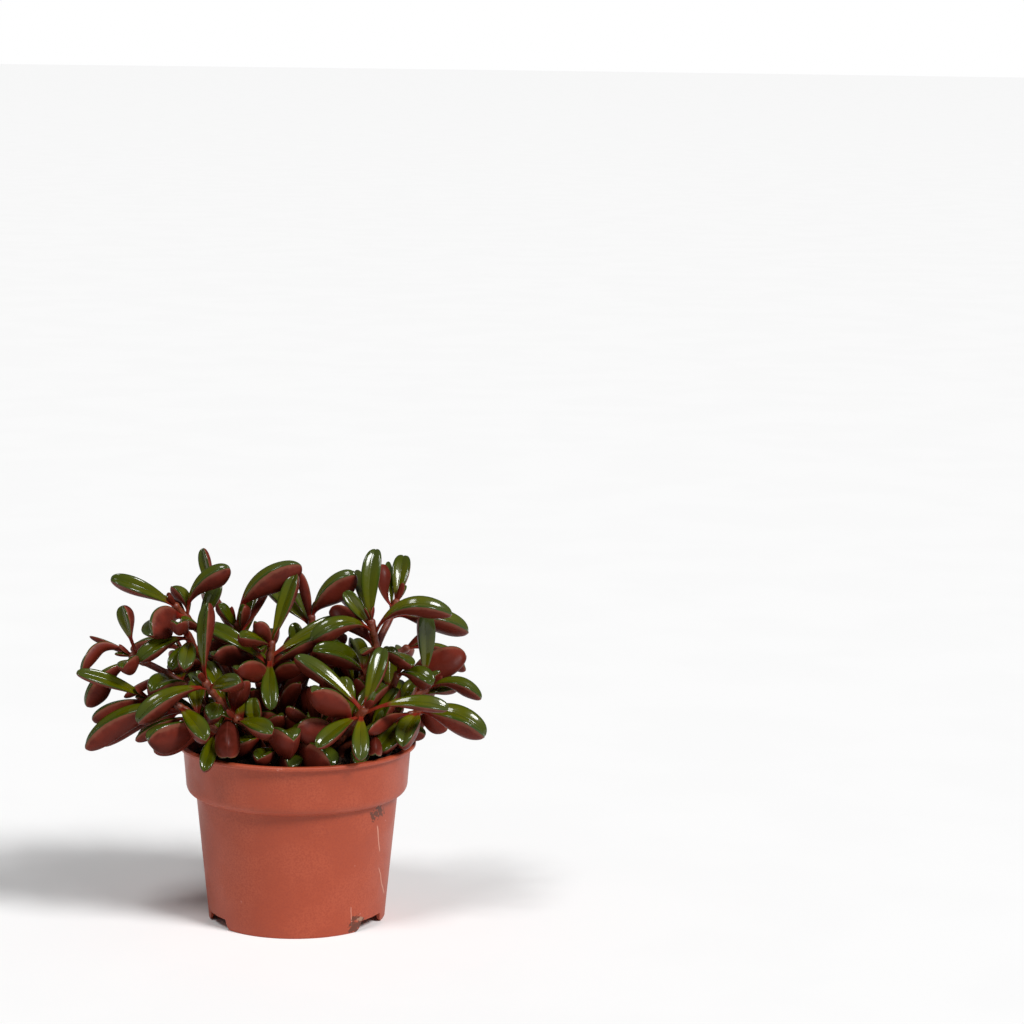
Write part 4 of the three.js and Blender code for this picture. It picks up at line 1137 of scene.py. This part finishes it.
def shape_leaf(mesh, length, width, arch, deep, twist, sway, stalk):
    """Moves the points of a copied leaf. Y runs from the joint to the tip, and the face looks up Z."""
    points = np.empty(len(mesh.vertices) * 3)
    mesh.vertices.foreach_get("co", points)
    points = points.reshape(-1, 3) / MM
    along = np.interp(points[:, 1] / LEAF_LENGTH, (0, STALK_END, 1), (0, stalk, 1))
    wide = points[:, 0] * width / LEAF_WIDTH
    deeper = np.where(points[:, 2] < 0, 1 + (deep - 1) * np.clip(along * 4, 0, 1), 1)
    up = points[:, 2] * width / LEAF_WIDTH * deeper
    roll = twist * along**1.5
    wide, up = wide * np.cos(roll) - up * np.sin(roll), wide * np.sin(roll) + up * np.cos(roll)
    bow = 4 * along * (1 - along)
    lean = np.arctan(4 * arch * (1 - 2 * along))
    x = wide + sway * length * bow
    y = along * (length + TIP_OVER) - up * np.sin(lean)
    z = arch * length * bow + up * np.cos(lean)
    mesh.vertices.foreach_set("co", (np.stack([x, y, z], 1) * MM).ravel())


def lay_leaf(name, form, root, tip, look, width, arch, deep, twist, sway, stalk, mood):
    """Copies a form, shapes it and lays it from root to tip."""
    line = tip - root
    length = line.length
    line.normalize()
    face = (look - line * look.dot(line)).normalized()
    across = line.cross(face)
    mesh = FORMS[form].data.copy()
    shape_leaf(mesh, length, width, arch, deep, twist, sway, stalk)
    basis = Matrix((across, line, face)).transposed().to_4x4()
    mesh.transform(Matrix.Translation(metres(root)) @ basis)
    moods = mesh.attributes.new("leaf_mood", "FLOAT_VECTOR", "POINT")
    moods.data.foreach_set("vector", np.tile(np.array(mood, np.float32), len(mesh.vertices)))
    mesh.update()
    leaf = bpy.data.objects.new(name, mesh)
    scene.collection.objects.link(leaf)
    return leaf


# %% [markdown]
# A leaf counts as a few balls along its keel and a stem as balls along its middle line, so the room
# between them is just the least distance between balls. The inner leaves need it to find a place.

# %% Balls along a leaf
KEEL_BALLS = ((0.2, 0.25), (0.4, 0.42), (0.6, 0.5), (0.8, 0.48), (0.97, 0.3))


def keel_balls(root, tip, look, arch, width):
    """Rows of x, y, z and radius. KEEL_BALLS holds each ball's share of the length and of the width."""
    line = tip - root
    face = (look - line * look.dot(line) / line.length_squared).normalized()
    balls = []
    for share, thick in KEEL_BALLS:
        bow = 4 * arch * line.length * share * (1 - share)
        balls.append((*(root + line * share + face * (bow - 0.6 * width * thick)), width * thick))
    return np.array(balls)


# %% Lay the leaves of the table
ROOT_DEPTH, END_DEPTH = 1.3, 0.6

chance = random.Random(11)
leaves = []
taken = []
for shoot in SHOOTS:
    line = line_of[shoot["name"]]
    for number, (node, at, tip, look, arch, width, form, *special) in enumerate(shoot["leaves"], 1):
        special = special[0] if special else {}
        joint, grain_way = place_on(line, at)
        tip, look = Vector(tip), Vector(look).normalized()
        heading = (tip - joint).normalized()
        side = (heading - grain_way * heading.dot(grain_way)).normalized()
        root = joint + side * (STEM_RADIUS - ROOT_DEPTH) if at < 1 else joint - grain_way * END_DEPTH
        varied = {
            "deep": chance.uniform(0.86, 1.1),
            "twist": math.radians(chance.uniform(-12, 12)),
            "sway": chance.uniform(-0.025, 0.025),
            "stalk": STALK_END,
            "tone": chance.random(),
            "red": chance.random() * 0.6,
            "bloom": chance.random() * 0.15,
        }
        varied.update(special)
        mood = [varied.pop(key) for key in ("tone", "red", "bloom")]
        name = f"{shoot['name']}_{number:02d}"
        leaf = lay_leaf(name, form, root, tip, look, width, arch, mood=mood, **varied)
        nodes = [f"leaf_{shoot['name']}_{node}"] if node else []
        leaves.append(finished(leaf, name, "leaf_skin", *nodes))
        taken.append(keel_balls(root, tip, look, arch, width))
print("leaves:", len(leaves), "triangles:", count_triangles(leaves))

# %% [markdown]
# ## Leaves inside the crown
#
# The leaves of the table are those that can be told apart. Deeper in, the crown is one dark mass, and
# its leaves are grown by rule. Joints are spaced along every shoot, and at each joint many leaves are
# tried. The largest one that has room between the others stays, as long as it keeps inside the dome of
# the crown and off the soil and the lip of the pot.

# %% Room for a leaf
LEAST_ROOM = -0.3
CROWN_MIDDLE, CROWN_REACH = (-4, 6, 92), (84, 44, 58)
LIP_INSIDE, LIP_TOP = 54, 91.5

stem_balls = np.array([(*place, STEM_RADIUS) for line in line_of.values() for place in line[::6]])


def room(balls, others):
    """The least distance between two sets of balls, in millimetres. It is below 0 where they overlap."""
    gaps = np.linalg.norm(balls[:, None, :3] - others[None, :, :3], axis=2)
    return (gaps - balls[:, None, 3] - others[None, :, 3]).min()


def inside_crown(balls):
    """Whether a leaf keeps inside the dome of the crown and off the soil and the lip."""
    places, radii = balls[:, :3], balls[:, 3]
    within = (((places - CROWN_MIDDLE) / CROWN_REACH) ** 2).sum(axis=1).max() < 1
    over_lip = np.hypot(places[:, 0], places[:, 1]) + radii > LIP_INSIDE
    return within and (places[:, 2] - radii > np.where(over_lip, LIP_TOP, SOIL_HEIGHT)).all()


def has_room(balls, others):
    """Whether a leaf fits between the others. Only the ball at its root may touch a stem."""
    clear = min(room(balls[1:], stem_balls), room(balls, others))
    return inside_crown(balls) and clear > LEAST_ROOM


print("balls along the stems:", len(stem_balls))

# %% Grow the inner leaves
JOINT_SPACING, TRIES = 6, 60
inner_chance = random.Random(5)


def try_leaf(joint, grain_way):
    """A leaf of random size and direction at a joint: root, tip, look, arch and width."""
    around = Vector([inner_chance.gauss(0, 1) for _ in range(3)])
    around = (around - grain_way * around.dot(grain_way)).normalized()
    rise = Vector((0, 0, inner_chance.uniform(0.1, 1)))
    way = (around + grain_way * inner_chance.uniform(0, 1.2) + rise).normalized()
    tip = joint + way * inner_chance.uniform(15, 31)
    look = (grain_way * 0.3 + Vector((0, 0, 1))).normalized()
    arch, width = inner_chance.uniform(0.03, 0.2), inner_chance.uniform(7, 11)
    return joint + around * (STEM_RADIUS - ROOT_DEPTH), tip, look, arch, width


def largest_leaf(joint, grain_way, others):
    """The largest of the tried leaves that has room, with its balls, or None."""
    best, best_size = None, 0
    for _ in range(TRIES):
        leaf = try_leaf(joint, grain_way)
        root, tip, _, _, width = leaf
        balls = keel_balls(*leaf)
        size = (tip - root).length * width
        if size > best_size and has_room(balls, others):
            best, best_size = (leaf, balls), size
    return best


spots = []
for shoot in SHOOTS:
    steps = round(length_of(line_of[shoot["name"]]) / JOINT_SPACING)
    spots += [(shoot["name"], step / steps) for step in range(1, steps)]
inner_chance.shuffle(spots)
inner_leaves = []
for shoot_name, share in spots:
    joint, grain_way = place_on(line_of[shoot_name], share)
    grown = largest_leaf(joint, grain_way, np.concatenate(taken))
    if grown is None:
        continue
    (root, tip, look, arch, width), balls = grown
    taken.append(balls)
    name = f"{shoot_name}_inner_{len(inner_leaves) + 1:02d}"
    # The inner leaves get redder keels than most: painted shade of the crown's dark inside.
    mood = (inner_chance.random() * 0.4, inner_chance.uniform(0.3, 0.8), 0.05)
    form = inner_chance.choice(("plump", "plump", "long"))
    leaf = lay_leaf(name, form, root, tip, look, width, arch, 0.95, 0, 0, STALK_END, mood)
    inner_leaves.append(finished(leaf, name, "leaf_skin"))
print("inner leaves:", len(inner_leaves), "triangles:", count_triangles(inner_leaves))

# %% [markdown]
# At the tip of each shoot two tiny leaves are still folded together round the next pair. They are
# young leaves about a centimetre long, redder than the others.

# %% Folded young leaves at the tips
BUD_WIDTH, BUD_MOOD = 3.4, (0.5, 0.9, 0.1)

buds = []
for number, shoot in enumerate(SHOOTS):
    joint, grain_way = place_on(line_of[shoot["name"]], 1)
    beside = grain_way.orthogonal().normalized()
    beside.rotate(Matrix.Rotation(chance.random() * math.tau, 3, grain_way))
    halves = []
    for sign in (1, -1):
        length = chance.uniform(6.5, 10.5)
        tip = joint + grain_way * length + beside * sign * chance.uniform(1.2, 3.2)
        root = joint + beside * sign * 0.5 - grain_way * 0.5
        half = lay_leaf(
            f"bud_{number}_{sign}", "young", root, tip, -beside * sign, BUD_WIDTH, 0.1, 0.8, 0, 0,
            STALK_END, BUD_MOOD
        )
        halves.append(half)
    deselect_all()
    for half in halves:
        half.select_set(True)
    bpy.context.view_layer.objects.active = halves[0]
    bpy.ops.object.join()
    buds.append(finished(bpy.context.object, f"{shoot['name']}_bud", "leaf_skin"))
print("buds:", len(buds), "triangles:", count_triangles(buds))

# %% [markdown]
# ## Leaf skin
#
# One finish paints the whole leaf from the three numbers that each point carries. The face has painted
# shade along its groove, is olive on the flanks and a deeper green towards the rim, more yellow near the
# base. A thin pale line runs where the face meets the keel. The keel is maroon, with painted shade
# underneath; towards the rim it turns a paler pinkish grey, partly its own tint and partly painted light
# and sheen. The stalk is red. The face is much glossier than the keel, so it gets a thin clear coat.

# %% Leaf skin
leaf_finish, tree, shader, object_place = new_finish("leaf_skin")
spot = add_node(tree, "ShaderNodeAttribute", attribute_name="leaf_place")
across, along, skin = add_node(tree, "ShaderNodeSeparateXYZ", {"Vector": spot.outputs["Vector"]}).outputs
mood = add_node(tree, "ShaderNodeAttribute", attribute_name="leaf_mood")
tone, red, bloom = add_node(tree, "ShaderNodeSeparateXYZ", {"Vector": mood.outputs["Vector"]}).outputs
off_middle = reckon(tree, "ABSOLUTE", across)

blade = fade(tree, along, 0.13, 0.24)
ragged = times(tree, minus(tree, use_mottle(tree, object_place, 500, 0.3, 0.7), 0.5), 0.06)
edge = plus(tree, skin, ragged)
on_face = times(tree, fade(tree, edge, 0.06, 0.16), blade)
on_margin = times(tree, fade(tree, reckon(tree, "ABSOLUTE", edge), 0.17, 0.05), blade)

# Painted shade: the face is darker along the bottom of its groove.
face = mix_colours(tree, fade(tree, off_middle, 0.0, 0.12), rgb(56, 58, 0), rgb(82, 84, 0))
face = mix_colours(tree, fade(tree, off_middle, 0.55, 1.0), face, rgb(42, 58, 0))
face = mix_colours(tree, fade(tree, along, 0.6, 0.97, 0, 0.6), face, rgb(44, 56, 1))
face = mix_colours(tree, fade(tree, along, 0.5, 0.2, 0, 0.6), face, rgb(106, 96, 0))
clouded = times(tree, use_mottle(tree, object_place, 90, 0.4, 0.75), 0.5)
face = mix_colours(tree, clouded, face, rgb(62, 74, 0))
# A higher tone darkens the face. Mostly it differs at random from leaf to leaf; on a few leaves deep in the
# crown it is set high to paint shade.
face = mix_colours(tree, fade(tree, tone, 0, 1, 0, 0.55), face, rgb(46, 58, 1))
bloomed = times(tree, bloom, fade(tree, along, 0.5, 0.95))
face = mix_colours(tree, bloomed, face, rgb(92, 108, 84))

# Painted shade: the keel is darkest underneath, where it faces down, and lighter up its sides.
keel = mix_colours(tree, fade(tree, skin, -1.0, -0.25), rgb(60, 19, 10), rgb(104, 39, 28))
# Towards the rim the keel turns a paler pinkish grey: partly its own tint, partly painted light and sheen.
keel = mix_colours(tree, fade(tree, skin, -0.3, -0.04, 0, 0.6), keel, rgb(130, 72, 60))
keel = mix_colours(tree, use_mottle(tree, object_place, 180, 0.35, 0.7), keel, rgb(84, 31, 23))
keel = mix_colours(tree, times(tree, red, 0.5), keel, rgb(112, 36, 20))
keel_line = fade(tree, plus(tree, off_middle, skin), -0.9, -0.985, 0, 0.25)
keel = mix_colours(tree, keel_line, keel, rgb(120, 60, 50))
stalk = mix_colours(tree, fade(tree, along, 0.0, 0.2), rgb(128, 44, 26), rgb(112, 22, 16))
keel = mix_colours(tree, blade, stalk, keel)

colour = mix_colours(tree, on_face, keel, face)
colour = mix_colours(tree, times(tree, on_margin, 0.5), colour, rgb(126, 78, 58))
tree.links.new(colour, shader.inputs["Base Color"])

waxy = use_mottle(tree, object_place, 350, 0.3, 0.7)
keel_rough = fade(tree, waxy, 0, 1, 0.34, 0.46)
face_rough = fade(tree, waxy, 0, 1, 0.17, 0.24)
rough = mix_numbers(tree, on_face, keel_rough, face_rough)
tree.links.new(rough, shader.inputs["Roughness"])
tree.links.new(times(tree, on_face, 0.55), shader.inputs["Coat Weight"])
shader.inputs["Coat Roughness"].default_value = 0.05
shader.inputs["Specular IOR Level"].default_value = 0.1
use_grain(tree, shader, object_place, 2200, 420, 0.5, 0.25, 0.35)
for piece in leaves + inner_leaves + buds:
    piece.data.materials.append(leaf_finish)
for form in FORMS.values():
    bpy.data.objects.remove(form)
print("finish:", leaf_finish.name)
